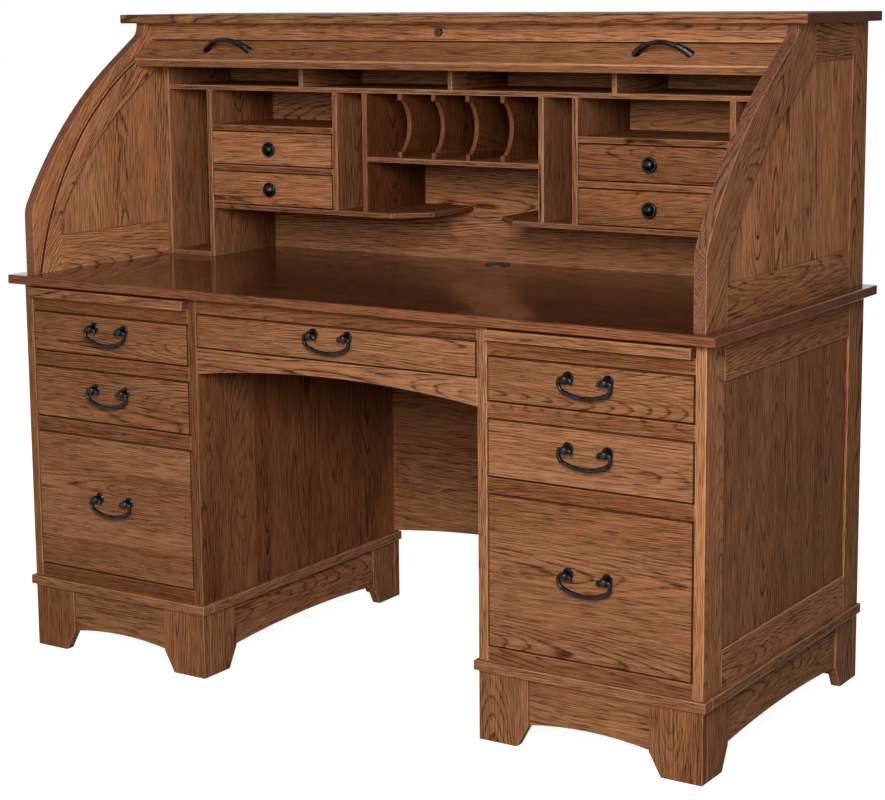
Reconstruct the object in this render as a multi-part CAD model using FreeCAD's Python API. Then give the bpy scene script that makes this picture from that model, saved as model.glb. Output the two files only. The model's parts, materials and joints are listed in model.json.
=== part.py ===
import FreeCAD, Part
import math
import os

# Oak roll-top desk with two pedestals. Millimetres, +Z up, front towards -Y, origin under the middle.

V = FreeCAD.Vector

# Desktop
TOP_W = 1545.0
TOP_D = 697.0
TOP_T = 18.0
WRITING_H = 762.0
EASED_EDGE = 2.5
SIDE_OVERHANG = 25.0
FRONT_OVERHANG = 22.0
REAR_OVERHANG = 2.0

# Pedestals
BOARD_T = 19.0
PANEL_T = 9.0
THIN_PANEL_T = 6.0
BACK_SET_IN = 4.0
PANEL_RECESS = 4.0
FRAME_MEMBER_W = 70.0
KNEE_W = 624.0
RAIL_H = 27.0
BOARD_SLOT_H = 24.0
TOP_OPENING_H = 82.5
MIDDLE_OPENING_H = 106.0
REVEAL = 2.6
RUN_GAP = 0.3

# Base
FOOT_H = 128.0
FOOT_W = 100.0
FOOT_BASE_W = 77.0
FOOT_KNEE_H = 42.0
MOULD_H = 18.0
MOULD_PROUD = 7.0
MOULD_INSIDE = 24.0
APRON_T = 14.0
APRON_SET_IN = 5.0
APRON_RISE = 10.0

# Kneehole
KNEE_TOP_RAIL_H = 28.0
CENTRE_OPENING_H = 67.0
KNEE_APRON_H = 49.0
KNEE_ARCH_RISE = 21.0
MODESTY_T = 12.0
MODESTY_END_Z = 150.0
MODESTY_SET_IN = 7.0

# Drawers
DRAWER_SIDE_T = 12.0
DRAWER_BOTTOM_T = 6.0
DRAWER_BOTTOM_LIFT = 10.0
DRAWER_SIDE_DROP = 12.0
DRAWER_SIDE_GAP = 3.0
DRAWER_REAR_GAP = 84.0
CENTRE_DRAWER_REAR_GAP = 165.0
RUNNER_W = 30.0
RUNNER_H = 18.0

# Sliding writing boards above the pedestals
SLIDE_BOARD_T = 18.0
SLIDE_BOARD_PROUD = 15.0
SLIDE_BOARD_REAR_GAP = 78.0

# Drawer pulls
PULL_SPACING = 76.2
PULL_DROP = 30.5
PULL_CORNER_R = 15.0
PULL_ABOVE_MIDDLE = 15.5
BAIL_R = 3.6
BAIL_BEND_R = 4.7
BAIL_SHANK = 3.0
BAIL_HOOK = 2.0
BAIL_STAND_OFF = 13.0
EYE_BALL_R = 7.5
EYE_CLEARANCE = 0.3
EYE_SIDE_GAP = 0.5
POST_STEM_R = 5.0
ROSETTE_R = 11.0
ROSETTE_CROWN_R = 8.0
ROSETTE_T = 3.5

# Roll-top case
OVERALL_H = 1268.0
CAP_T = 18.0
CAP_SIDE_OVERHANG = 26.0
CAP_FRONT_OVERHANG = 22.0
ROLL_SIDE_T = 22.0
ROLL_SIDE_SET_IN = 3.5
ROLL_FRONT_SET_IN = 2.8
SIDE_DRAWN_D = 670.2
SIDE_DRAWN_H = 488.0
UPRIGHT_EDGE_H = 114.0
BEND_R = 58.0
BEND_TURN = 31.0
SWEEP_R = 835.0
SWEEP_TURN = 25.5
FLARE_R = 30.0
FLARE_LIP = 4.0
CURVED_STILE_W = 80.0
INNER_BEND_R = 40.0
ROLL_TOP_RAIL_H = 65.0
FASCIA_SET_BACK = 17.7
FASCIA_H = 33.0

# Roll-top track and curtain
LIFT_RAIL_W = 68.0
LIFT_RAIL_T = 19.0
LIFT_RAIL_TILT = 33.4
LIFT_RAIL_GAP = 2.4
LIFT_RAIL_END_GAP = 0.8
TRACK_BOW = 0.4852
TRACK_SET_BACK = 24.0
CLOSED_GAP = 2.5
TRACK_W = 12.0
TRACK_DEPTH = 8.0
TRACK_CLEARANCE = 0.3
TRACK_LEAD = 6.0
HEAD_TURN_R = 200.0
REAR_TURN_R = 60.0
SLAT_W = 24.0
SLAT_GAP = 1.0
SLAT_T = 8.0
SPARE_SLATS = 1
CANVAS_T = 1.0
CURTAIN_GAP = 1.5
CANVAS_SET_IN = 30.0
HANDLE_FROM_END = 230.0
HANDLE_SPAN = 110.0
HANDLE_RISE = 31.0
HANDLE_R = 4.2
HANDLE_FOOT_R = 8.0
HANDLE_UP_RAIL = 33.0

# Lock in the fascia
LOCK_R = 7.0
LOCK_FLANGE_R = 8.0
LOCK_FLANGE_T = 7.0
LOCK_L = 22.0
PLUG_R = 4.5
PLUG_CLEARANCE = 0.3
KEYWAY_W = 1.5
KEYWAY_H = 6.0
KEYWAY_D = 6.0

# Pigeonhole unit
UNIT_FASCIA_GAP = 16.0
UNIT_REAR_GAP = 57.0
UNIT_SIDE_GAP = 4.0
UNIT_CURTAIN_GAP = 27.9
UNIT_T = 12.0
SHELF_T = 10.0
TALL_SLOT_PITCH = 120.0
DRAWER_BAY_PITCH = 322.0
NARROW_SLOT_PITCH = 73.0
LETTER_HALF_W = 203.0
UNDER_SHELF_H = 103.0
SMALL_OPENING_H = 71.0
SMALL_GIVE = 0.5
UPPER_OPENING_H = 71.0
TOP_ROW_H = 65.0
LETTER_SLOT_H = 126.0
LETTER_SLOTS = 5
LETTER_T = 9.5
LETTER_LIP = 13.0
LETTER_STEP = 9.0
LETTER_SCOOP = 34.0
SHELF_END = 79.0
SHELF_CLIP = 62.0

# Small drawers and knobs
SMALL_REVEAL = 1.5
SMALL_FRONT_T = 12.0
SMALL_SIDE_T = 8.0
SMALL_BOTTOM_T = 4.0
SMALL_SIDE_DROP = 6.0
SMALL_REAR_GAP = 14.0
KNOB_R = 15.0
KNOB_RIM_T = 5.0
KNOB_RIM_ROUND = 1.8
KNOB_DOME_R = 11.5
KNOB_DOME_H = 7.0
KNOB_NECK_R = 6.0
KNOB_NECK_L = 7.0

# Wire grommet
GROMMET_FROM_REAR = 94.0
GROMMET_R = 26.0
GROMMET_HOLE_R = 22.0
GROMMET_FLANGE_T = 1.6

# Places that follow from the sizes above
FRONT = -TOP_D / 2
REAR = TOP_D / 2
CASE_FRONT = FRONT + FRONT_OVERHANG
CASE_REAR = REAR - REAR_OVERHANG
BACK_FACE = CASE_REAR - BACK_SET_IN - THIN_PANEL_T
OUTER_X = TOP_W / 2 - SIDE_OVERHANG
OUTER_IN_X = OUTER_X - BOARD_T
KNEE_X = KNEE_W / 2
INNER_IN_X = KNEE_X + BOARD_T
TOP_UNDER = WRITING_H - TOP_T
BASE_TOP = FOOT_H + MOULD_H
CAP_UNDER = OVERALL_H - CAP_T
ROLL_X = OUTER_X - ROLL_SIDE_SET_IN
ROLL_IN_X = ROLL_X - ROLL_SIDE_T
ROLL_FRONT = CASE_FRONT + ROLL_FRONT_SET_IN
MODESTY_FACE = CASE_REAR - MODESTY_SET_IN - MODESTY_T
BOX_FRONT = CASE_FRONT + BOARD_T
DRAWER_D = BACK_FACE - DRAWER_REAR_GAP - BOX_FRONT
CENTRE_DRAWER_D = MODESTY_FACE - CENTRE_DRAWER_REAR_GAP - BOX_FRONT

BOARD_RAIL_TOP = TOP_UNDER - BOARD_SLOT_H
TOP_OPENING_TOP = BOARD_RAIL_TOP - RAIL_H
TOP_OPENING_Z = TOP_OPENING_TOP - TOP_OPENING_H
MIDDLE_OPENING_TOP = TOP_OPENING_Z - RAIL_H
MIDDLE_OPENING_Z = MIDDLE_OPENING_TOP - MIDDLE_OPENING_H
FILE_OPENING_TOP = MIDDLE_OPENING_Z - RAIL_H
FILE_OPENING_Z = BASE_TOP + RAIL_H
CENTRE_OPENING_TOP = TOP_UNDER - KNEE_TOP_RAIL_H
CENTRE_OPENING_Z = CENTRE_OPENING_TOP - CENTRE_OPENING_H

UNIT_BACK_Y = REAR - UNIT_REAR_GAP

nodes = {}


def block(x0, x1, y0, y1, z0, z1):
    return Part.makeBox(abs(x1 - x0), y1 - y0, z1 - z0, V(min(x0, x1), y0, z0))


def both_sides(make):
    """Boards of the right side and of the left side, from one function of the side's sign."""
    return make(1) + make(-1)


def group(solids):
    return Part.makeCompound(solids)


def line(a, b):
    return Part.LineSegment(a, b).toShape()


def arc(a, middle, b):
    return Part.Arc(a, middle, b).toShape()


def closed_face(points):
    return Part.Face(Part.Wire(Part.makePolygon(points + points[:1])))


def disc(centre, axis, radius, length):
    return Part.makeCylinder(radius, length, centre, axis)


def arched_board(x0, x1, y0, y1, end_z, rise, top_z):
    """A board along X whose lower edge is an arch that rises to the middle."""
    mid_x = (x0 + x1) / 2
    edges = [
        arc(V(x0, y0, end_z), V(mid_x, y0, end_z + rise), V(x1, y0, end_z)),
        line(V(x1, y0, end_z), V(x1, y0, top_z)),
        line(V(x1, y0, top_z), V(x0, y0, top_z)),
        line(V(x0, y0, top_z), V(x0, y0, end_z)),
    ]
    return Part.Face(Part.Wire(edges)).extrude(V(0, y1 - y0, 0))


def turned_to_side(solid, x, y):
    """A board along X, made about x = 0, turned to lie along Y at x, with its face outwards."""
    solid.rotate(V(0, 0, 0), V(0, 0, 1), 90)
    solid.translate(V(x, y, 0))
    return solid


# Desktop and grommet
def desk_top():
    slab = block(-TOP_W / 2, TOP_W / 2, FRONT, REAR, TOP_UNDER, WRITING_H)
    slab = slab.makeFillet(EASED_EDGE, slab.Edges)
    hole = disc(V(0, REAR - GROMMET_FROM_REAR, TOP_UNDER), V(0, 0, 1), GROMMET_HOLE_R, TOP_T)
    return slab.cut(hole)


def wire_grommet():
    centre = V(0, REAR - GROMMET_FROM_REAR, TOP_UNDER)
    sleeve = disc(centre, V(0, 0, 1), GROMMET_HOLE_R, TOP_T)
    flange = disc(centre + V(0, 0, TOP_T), V(0, 0, 1), GROMMET_R, GROMMET_FLANGE_T)
    return sleeve.fuse(flange)


# Pedestals
def outer_frame(side):
    x0 = side * OUTER_IN_X
    x1 = side * OUTER_X
    front_end = CASE_FRONT + FRAME_MEMBER_W
    rear_start = CASE_REAR - FRAME_MEMBER_W
    return [
        block(x0, x1, CASE_FRONT, front_end, BASE_TOP, TOP_UNDER),
        block(x0, x1, rear_start, CASE_REAR, BASE_TOP, TOP_UNDER),
        block(x0, x1, front_end, rear_start, BASE_TOP, BASE_TOP + FRAME_MEMBER_W),
        block(x0, x1, front_end, rear_start, TOP_UNDER - FRAME_MEMBER_W, TOP_UNDER),
    ]


def outer_panel(side):
    x1 = side * (OUTER_X - PANEL_RECESS)
    x0 = side * (OUTER_X - PANEL_RECESS - PANEL_T)
    y0 = CASE_FRONT + FRAME_MEMBER_W
    y1 = CASE_REAR - FRAME_MEMBER_W
    return [block(x0, x1, y0, y1, BASE_TOP + FRAME_MEMBER_W, TOP_UNDER - FRAME_MEMBER_W)]


def inner_side(side):
    return [block(side * KNEE_X, side * INNER_IN_X, CASE_FRONT, CASE_REAR, BASE_TOP, TOP_UNDER)]


def front_rails(side):
    tops = [BOARD_RAIL_TOP, TOP_OPENING_Z, MIDDLE_OPENING_Z, FILE_OPENING_Z]
    x0 = side * INNER_IN_X
    x1 = side * OUTER_IN_X
    return [block(x0, x1, CASE_FRONT, BOX_FRONT, top - RAIL_H, top) for top in tops]


def runners(side):
    """Wooden runners behind each rail, along both walls, which the drawers and the writing board slide on."""
    boards = []
    for top in [BOARD_RAIL_TOP, TOP_OPENING_Z, MIDDLE_OPENING_Z, FILE_OPENING_Z]:
        for wall, inward in [(INNER_IN_X, RUNNER_W), (OUTER_IN_X, -RUNNER_W)]:
            x0 = side * wall
            x1 = side * (wall + inward)
            boards.append(block(x0, x1, BOX_FRONT, BACK_FACE, top - RUNNER_H, top))
    return boards


def pedestal_bottom(side):
    x0 = side * INNER_IN_X
    x1 = side * OUTER_IN_X
    return [block(x0, x1, BOX_FRONT, BACK_FACE, BASE_TOP, BASE_TOP + THIN_PANEL_T)]


def pedestal_back(side):
    x0 = side * INNER_IN_X
    x1 = side * OUTER_IN_X
    return [block(x0, x1, BACK_FACE, BACK_FACE + THIN_PANEL_T, BASE_TOP, TOP_UNDER)]


# Base of each pedestal
def moulding(side):
    x_in = KNEE_X - MOULD_PROUD
    x_out = OUTER_X + MOULD_PROUD
    y_front = CASE_FRONT - MOULD_PROUD
    strip = MOULD_PROUD + MOULD_INSIDE
    strips = [
        block(side * x_in, side * x_out, y_front, y_front + strip, FOOT_H, BASE_TOP),
        block(side * x_in, side * (x_in + strip), y_front + strip, CASE_REAR, FOOT_H, BASE_TOP),
        block(side * (x_out - strip), side * x_out, y_front + strip, CASE_REAR, FOOT_H, BASE_TOP),
        block(
            side * (x_in + strip), side * (x_out - strip),
            CASE_REAR - MOULD_INSIDE, CASE_REAR, FOOT_H, BASE_TOP,
        ),
    ]
    return strips


def foot_plate(width, base, thickness):
    """One board of a bracket foot from its outer corner along +X, clipped below on the inner side."""
    points = [V(0, 0, 0), V(base, 0, 0), V(width, 0, FOOT_KNEE_H), V(width, 0, FOOT_H), V(0, 0, FOOT_H)]
    return closed_face(points).extrude(V(0, thickness, 0))


def foot(corner_x, corner_y, x_way, y_way):
    """Two boards that meet at the corner: one along X, and one along Y behind it."""
    front = foot_plate(FOOT_W, FOOT_BASE_W, BOARD_T)
    flank = foot_plate(FOOT_W - BOARD_T, FOOT_BASE_W - BOARD_T, BOARD_T)
    flank.rotate(V(0, 0, 0), V(0, 0, 1), 90)
    flank.translate(V(BOARD_T, BOARD_T, 0))
    boards = []
    for board in (front, flank):
        if x_way < 0:
            board = board.mirror(V(0, 0, 0), V(1, 0, 0))
        if y_way < 0:
            board = board.mirror(V(0, 0, 0), V(0, 1, 0))
        board.translate(V(corner_x, corner_y, 0))
        boards.append(board)
    return boards


def feet(side):
    boards = []
    for corner_x, x_way in [(side * KNEE_X, side), (side * OUTER_X, -side)]:
        boards += foot(corner_x, CASE_FRONT, x_way, 1)
        boards += foot(corner_x, CASE_REAR, x_way, -1)
    return boards


def aprons(side):
    """Arched boards between the feet, set in a little from their faces."""
    x0 = KNEE_X + FOOT_W
    x1 = OUTER_X - FOOT_W
    y0 = CASE_FRONT + FOOT_W
    y1 = CASE_REAR - FOOT_W
    half_x = (x1 - x0) / 2
    half_y = (y1 - y0) / 2
    mid_x = side * (x0 + x1) / 2
    mid_y = (y0 + y1) / 2
    boards = []
    for y in (CASE_FRONT + APRON_SET_IN, CASE_REAR - APRON_SET_IN - APRON_T):
        board = arched_board(-half_x, half_x, y, y + APRON_T, FOOT_KNEE_H, APRON_RISE, FOOT_H)
        board.translate(V(mid_x, 0, 0))
        boards.append(board)
    for x in (KNEE_X + APRON_SET_IN + APRON_T / 2, OUTER_X - APRON_SET_IN - APRON_T / 2):
        board = arched_board(-half_y, half_y, -APRON_T / 2, APRON_T / 2, FOOT_KNEE_H, APRON_RISE, FOOT_H)
        boards.append(turned_to_side(board, side * x, mid_y))
    return boards


# Kneehole
def kneehole_rails():
    y1 = BOX_FRONT
    guide_rear = y1 + CENTRE_DRAWER_D
    apron = arched_board(
        -KNEE_X, KNEE_X, CASE_FRONT, y1,
        CENTRE_OPENING_Z - KNEE_APRON_H, KNEE_ARCH_RISE, CENTRE_OPENING_Z,
    )
    top_rail = block(-KNEE_X, KNEE_X, CASE_FRONT, y1, CENTRE_OPENING_TOP, TOP_UNDER)
    guides = []
    for side in (1, -1):
        x0 = side * (KNEE_X - RUNNER_W)
        x1 = side * KNEE_X
        guides.append(block(x0, x1, y1, guide_rear, CENTRE_OPENING_Z - RUNNER_H, CENTRE_OPENING_Z))
    return [top_rail, apron] + guides


def modesty_panel():
    y1 = MODESTY_FACE + MODESTY_T
    return arched_board(
        -KNEE_X, KNEE_X, MODESTY_FACE, y1, MODESTY_END_Z, KNEE_ARCH_RISE, TOP_UNDER
    )


# Drawers
def drawer_box(x0, x1, z0, z1, depth):
    """Front, sides, back and bottom of a drawer that fills the opening x0 to x1 and z0 to z1."""
    box_y = BOX_FRONT
    rear_y = box_y + depth
    left = x0 + DRAWER_SIDE_GAP
    right = x1 - DRAWER_SIDE_GAP
    low = z0 + RUN_GAP
    high = z1 - DRAWER_SIDE_DROP
    floor = low + DRAWER_BOTTOM_LIFT
    inner_left = left + DRAWER_SIDE_T
    inner_right = right - DRAWER_SIDE_T
    return [
        block(x0 + REVEAL, x1 - REVEAL, CASE_FRONT, box_y, z0 + REVEAL, z1 - REVEAL),
        block(left, inner_left, box_y, rear_y, low, high),
        block(inner_right, right, box_y, rear_y, low, high),
        block(inner_left, inner_right, rear_y - DRAWER_SIDE_T, rear_y, floor + DRAWER_BOTTOM_T, high),
        block(inner_left, inner_right, box_y, rear_y, floor, floor + DRAWER_BOTTOM_T),
    ]


EYE_R = BAIL_R + EYE_CLEARANCE
EYE_HALF_L = math.sqrt(EYE_BALL_R ** 2 - EYE_R ** 2)


def pull_post(x, z):
    """A turned post: rosette on the drawer, stem, and a ball whose eye holds the bail."""
    base = V(x, CASE_FRONT, z)
    out = V(0, -1, 0)
    across = V(1, 0, 0)
    middle = base + out * BAIL_STAND_OFF
    rosette = Part.makeCone(ROSETTE_R, ROSETTE_CROWN_R, ROSETTE_T, base, out)
    stem = disc(base, out, POST_STEM_R, BAIL_STAND_OFF)
    ball = Part.makeSphere(EYE_BALL_R, middle)
    eye = disc(middle - across * EYE_BALL_R, across, EYE_R, 2 * EYE_BALL_R)
    return rosette.fuse(stem).fuse(ball).cut(eye)


def pull_posts(x, z):
    return [pull_post(x - PULL_SPACING / 2, z), pull_post(x + PULL_SPACING / 2, z)]


def bail(x, z):
    """A bent rod through the eyes of both posts: hooks inside the eyes, shanks outside and a bow below."""
    y = CASE_FRONT - BAIL_STAND_OFF
    eye_x = PULL_SPACING / 2
    straight = EYE_HALF_L + EYE_SIDE_GAP
    shank_x = eye_x + straight + BAIL_BEND_R
    hook_x = eye_x - straight - BAIL_BEND_R
    bend_z = -BAIL_BEND_R
    hook_z = bend_z - BAIL_HOOK
    corner_x = shank_x - PULL_CORNER_R
    corner_z = bend_z - BAIL_SHANK
    depth = PULL_DROP + corner_z
    bow_r = (corner_x ** 2 + depth ** 2 - PULL_CORNER_R ** 2) / (2 * (depth - PULL_CORNER_R))
    meet_angle = math.atan2(bow_r - depth, corner_x)
    bend_mid = BAIL_BEND_R * math.sqrt(0.5)

    def at(px, pz):
        return V(x + px, y, z + pz)

    def corner(angle):
        return (corner_x + PULL_CORNER_R * math.cos(angle), corner_z - PULL_CORNER_R * math.sin(angle))

    meet = corner(meet_angle)
    middle = corner(meet_angle / 2)
    edges = [arc(at(meet[0], meet[1]), at(0, -PULL_DROP), at(-meet[0], meet[1]))]
    for side in (1, -1):
        hook_mid = at(side * (eye_x - straight - bend_mid), bend_z + bend_mid)
        shank_mid = at(side * (eye_x + straight + bend_mid), bend_z + bend_mid)
        hook_top = at(side * (eye_x - straight), 0)
        shank_top = at(side * (eye_x + straight), 0)
        hook_bend = at(side * hook_x, bend_z)
        shank_bend = at(side * shank_x, bend_z)
        shank_end = at(side * shank_x, corner_z)
        edges += [
            line(at(side * hook_x, hook_z), hook_bend),
            arc(hook_bend, hook_mid, hook_top),
            line(hook_top, shank_top),
            arc(shank_top, shank_mid, shank_bend),
            line(shank_bend, shank_end),
            arc(shank_end, at(side * middle[0], middle[1]), at(side * meet[0], meet[1])),
        ]
    path = Part.Wire(Part.__sortEdges__(edges))
    start = path.OrderedVertexes[0].Point
    section = Part.Wire(Part.makeCircle(BAIL_R, start, V(0, 0, 1)))
    return path.makePipeShell([section], True, False)


def add_drawer(name, x0, x1, z0, z1, depth):
    x = (x0 + x1) / 2
    z = (z0 + z1) / 2 + PULL_ABOVE_MIDDLE
    nodes[name + "_drawer"] = group(drawer_box(x0, x1, z0, z1, depth))
    nodes[name + "_pull_posts"] = group(pull_posts(x, z))
    nodes[name + "_bail"] = bail(x, z)
    print(name, "bail pivot", round(CASE_FRONT - BAIL_STAND_OFF, 3), round(z, 3))


def add_pedestal_drawers(side, word):
    x0, x1 = sorted((side * INNER_IN_X, side * OUTER_IN_X))
    add_drawer(word + "_top", x0, x1, TOP_OPENING_Z, TOP_OPENING_TOP, DRAWER_D)
    add_drawer(word + "_middle", x0, x1, MIDDLE_OPENING_Z, MIDDLE_OPENING_TOP, DRAWER_D)
    add_drawer(word + "_file", x0, x1, FILE_OPENING_Z, FILE_OPENING_TOP, DRAWER_D)


def writing_board(side):
    x0 = side * (INNER_IN_X + DRAWER_SIDE_GAP)
    x1 = side * (OUTER_IN_X - DRAWER_SIDE_GAP)
    y0 = CASE_FRONT - SLIDE_BOARD_PROUD
    z0 = BOARD_RAIL_TOP + RUN_GAP
    return block(x0, x1, y0, BACK_FACE - SLIDE_BOARD_REAR_GAP, z0, z0 + SLIDE_BOARD_T)


# Side profile of the roll-top case, as (y, z) points from its lower front corner: an upright edge, a bend,
# a long sweep and a slope. It is drawn at its own size and stretched to the depth and height of the case.
SIDE_FIT_Y = (CASE_REAR - ROLL_FRONT) / SIDE_DRAWN_D
SIDE_FIT_Z = (CAP_UNDER - WRITING_H) / SIDE_DRAWN_H
BEND_END = math.radians(90 - BEND_TURN)
SLOPE = math.radians(90 - BEND_TURN - SWEEP_TURN)
SWEEP_CENTRE = (
    BEND_R + (SWEEP_R - BEND_R) * math.sin(BEND_END),
    UPRIGHT_EDGE_H - (SWEEP_R - BEND_R) * math.cos(BEND_END),
)


def on_round(centre, radius, heading):
    """The point of a convex bend where the edge runs at this heading above the horizontal."""
    return (centre[0] - radius * math.sin(heading), centre[1] + radius * math.cos(heading))


def side_y(y):
    return ROLL_FRONT + y * SIDE_FIT_Y


def side_z(z):
    return WRITING_H + z * SIDE_FIT_Z


def on_side(x, point):
    return V(x, side_y(point[0]), side_z(point[1]))


def at_x(x, point):
    return V(x, point[0], point[1])


def chain(place, x, points):
    return [line(place(x, a), place(x, b)) for a, b in zip(points, points[1:])]


SLOPE_START = on_round(SWEEP_CENTRE, SWEEP_R, SLOPE)
FLARE_TOP_Z = SIDE_DRAWN_H - FLARE_LIP
FLARE_START_Z = FLARE_TOP_Z - FLARE_R * math.cos(SLOPE)
FLARE_START_Y = SLOPE_START[0] + (FLARE_START_Z - SLOPE_START[1]) / math.tan(SLOPE)
FLARE_TOP_Y = FLARE_START_Y + FLARE_R * (1 - math.sin(SLOPE))
SIDE_RAIL_Z = SIDE_DRAWN_H - ROLL_TOP_RAIL_H
SIDE_SILL_TOP = FRAME_MEMBER_W
SIDE_REAR_STILE_Y = SIDE_DRAWN_D - FRAME_MEMBER_W
ROLL_TOP_FRONT = side_y(FLARE_TOP_Y)
FASCIA_FRONT = ROLL_TOP_FRONT + FASCIA_SET_BACK
FASCIA_Z = CAP_UNDER - FASCIA_H
UNIT_Y = FASCIA_FRONT + BOARD_T + UNIT_FASCIA_GAP


def bend_edges(x, inset, bend_r, low_z):
    """An edge set in from the front edge, from low_z up to the slope, with its own bend radius."""
    sweep_r = SWEEP_R - inset
    bend_end = math.asin((SWEEP_CENTRE[0] - inset - bend_r) / (sweep_r - bend_r))
    bend_centre = on_round(SWEEP_CENTRE, sweep_r - bend_r, bend_end)
    foot_point = (inset, low_z)
    upright_top = (inset, bend_centre[1])
    bend_mid = on_round(bend_centre, bend_r, (math.pi / 2 + bend_end) / 2)
    bend_top = on_round(bend_centre, bend_r, bend_end)
    sweep_mid = on_round(SWEEP_CENTRE, sweep_r, (bend_end + SLOPE) / 2)
    slope_start = on_round(SWEEP_CENTRE, sweep_r, SLOPE)
    edges = [
        line(on_side(x, foot_point), on_side(x, upright_top)),
        arc(on_side(x, upright_top), on_side(x, bend_mid), on_side(x, bend_top)),
        arc(on_side(x, bend_top), on_side(x, sweep_mid), on_side(x, slope_start)),
    ]
    return edges, foot_point, slope_start


def stile_corner():
    """Where the inner edge of the curved stile meets the top rail."""
    start = on_round(SWEEP_CENTRE, SWEEP_R - CURVED_STILE_W, SLOPE)
    return (start[0] + (SIDE_RAIL_Z - start[1]) / math.tan(SLOPE), SIDE_RAIL_Z)


def curved_stile(side):
    x = side * ROLL_X
    outer, outer_foot, outer_slope = bend_edges(x, 0.0, BEND_R, 0.0)
    inner, inner_foot, inner_slope = bend_edges(x, CURVED_STILE_W, INNER_BEND_R, 0.0)
    flare_start = (FLARE_START_Y, FLARE_START_Z)
    flare_centre = (FLARE_TOP_Y - FLARE_R, FLARE_TOP_Z)
    mid_heading = (SLOPE + math.pi / 2) / 2
    flare_mid = (
        flare_centre[0] + FLARE_R * math.sin(mid_heading),
        flare_centre[1] - FLARE_R * math.cos(mid_heading),
    )
    flare_top = (FLARE_TOP_Y, FLARE_TOP_Z)
    cap_front = (FLARE_TOP_Y, SIDE_DRAWN_H)
    corner = stile_corner()
    cap_rear = (corner[0], SIDE_DRAWN_H)
    edges = outer + chain(on_side, x, [outer_slope, flare_start])
    edges.append(arc(on_side(x, flare_start), on_side(x, flare_mid), on_side(x, flare_top)))
    edges += chain(on_side, x, [flare_top, cap_front, cap_rear, corner, inner_slope])
    edges += inner + chain(on_side, x, [inner_foot, outer_foot])
    face = Part.Face(Part.Wire(Part.__sortEdges__(edges)))
    return face.extrude(V(-side * ROLL_SIDE_T, 0, 0))


def case_frame(side):
    """Curved front stile, rear stile and two rails, with the track cut in their inner faces."""
    x0 = side * ROLL_IN_X
    x1 = side * ROLL_X
    corner_y = side_y(stile_corner()[0])
    sill_y = side_y(CURVED_STILE_W)
    stile_y = side_y(SIDE_REAR_STILE_Y)
    boards = [
        curved_stile(side),
        block(x0, x1, stile_y, CASE_REAR, WRITING_H, CAP_UNDER),
        block(x0, x1, sill_y, stile_y, WRITING_H, side_z(SIDE_SILL_TOP)),
        block(x0, x1, corner_y, stile_y, side_z(SIDE_RAIL_Z), CAP_UNDER),
    ]
    groove = track_band(x0, side * TRACK_DEPTH, -TRACK_W / 2, TRACK_W / 2, TRACK_FOOT_ANGLE, TRACK_TAIL_Z)
    return [board.cut(groove) for board in boards]


def case_panel(side):
    x = side * (ROLL_X - PANEL_RECESS)
    edges, foot_point, slope_start = bend_edges(x, CURVED_STILE_W, INNER_BEND_R, SIDE_SILL_TOP)
    rear_top = (SIDE_REAR_STILE_Y, SIDE_RAIL_Z)
    rear_low = (SIDE_REAR_STILE_Y, SIDE_SILL_TOP)
    edges += chain(on_side, x, [slope_start, stile_corner(), rear_top, rear_low, foot_point])
    face = Part.Face(Part.Wire(Part.__sortEdges__(edges)))
    return [face.extrude(V(-side * PANEL_T, 0, 0))]


def top_cap():
    half_w = ROLL_X + CAP_SIDE_OVERHANG
    slab = block(-half_w, half_w, ROLL_TOP_FRONT - CAP_FRONT_OVERHANG, REAR, CAP_UNDER, OVERALL_H)
    return slab.makeFillet(EASED_EDGE, slab.Edges)


def fascia_rail():
    board = block(-ROLL_IN_X, ROLL_IN_X, FASCIA_FRONT, FASCIA_FRONT + BOARD_T, FASCIA_Z, CAP_UNDER)
    return board.cut(disc(V(0, FASCIA_FRONT, LOCK_Z), V(0, 1, 0), LOCK_R, BOARD_T))


def case_back():
    return block(-ROLL_IN_X, ROLL_IN_X, BACK_FACE, BACK_FACE + THIN_PANEL_T, WRITING_H, CAP_UNDER)


# Track of the roll top: an arc about one axis, then back under the cap and down behind the pigeonholes
RAIL_TILT = math.radians(LIFT_RAIL_TILT)
RAIL_ALONG = (math.cos(RAIL_TILT), math.sin(RAIL_TILT))
RAIL_OUT = (-math.sin(RAIL_TILT), math.cos(RAIL_TILT))
RAIL_ARRIS = (FASCIA_FRONT, FASCIA_Z - LIFT_RAIL_GAP)
OPEN_PIN = (
    RAIL_ARRIS[0] - RAIL_ALONG[0] * LIFT_RAIL_W / 2 - RAIL_OUT[0] * LIFT_RAIL_T / 2,
    RAIL_ARRIS[1] - RAIL_ALONG[1] * LIFT_RAIL_W / 2 - RAIL_OUT[1] * LIFT_RAIL_T / 2,
)
CLOSED_PIN = (ROLL_FRONT + TRACK_SET_BACK, WRITING_H + LIFT_RAIL_W / 2 + CLOSED_GAP)
CHORD_Y = OPEN_PIN[0] - CLOSED_PIN[0]
CHORD_Z = OPEN_PIN[1] - CLOSED_PIN[1]
CHORD_SLOPE = math.atan2(CHORD_Z, CHORD_Y)
HALF_SWING = CHORD_SLOPE * TRACK_BOW
OPEN_ANGLE = math.pi / 2 - CHORD_SLOPE + HALF_SWING
TRACK_R = math.hypot(CHORD_Y, CHORD_Z) / (2 * math.sin(HALF_SWING))
TRACK_CENTRE = (
    OPEN_PIN[0] + TRACK_R * math.cos(OPEN_ANGLE),
    OPEN_PIN[1] - TRACK_R * math.sin(OPEN_ANGLE),
)
TRACK_FOOT_ANGLE = math.asin((WRITING_H - TRACK_W - TRACK_CENTRE[1]) / TRACK_R)
HEAD_ANGLE = OPEN_ANGLE + math.radians(TRACK_LEAD)
HEAD_TURN = math.pi / 2 - HEAD_ANGLE
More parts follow.
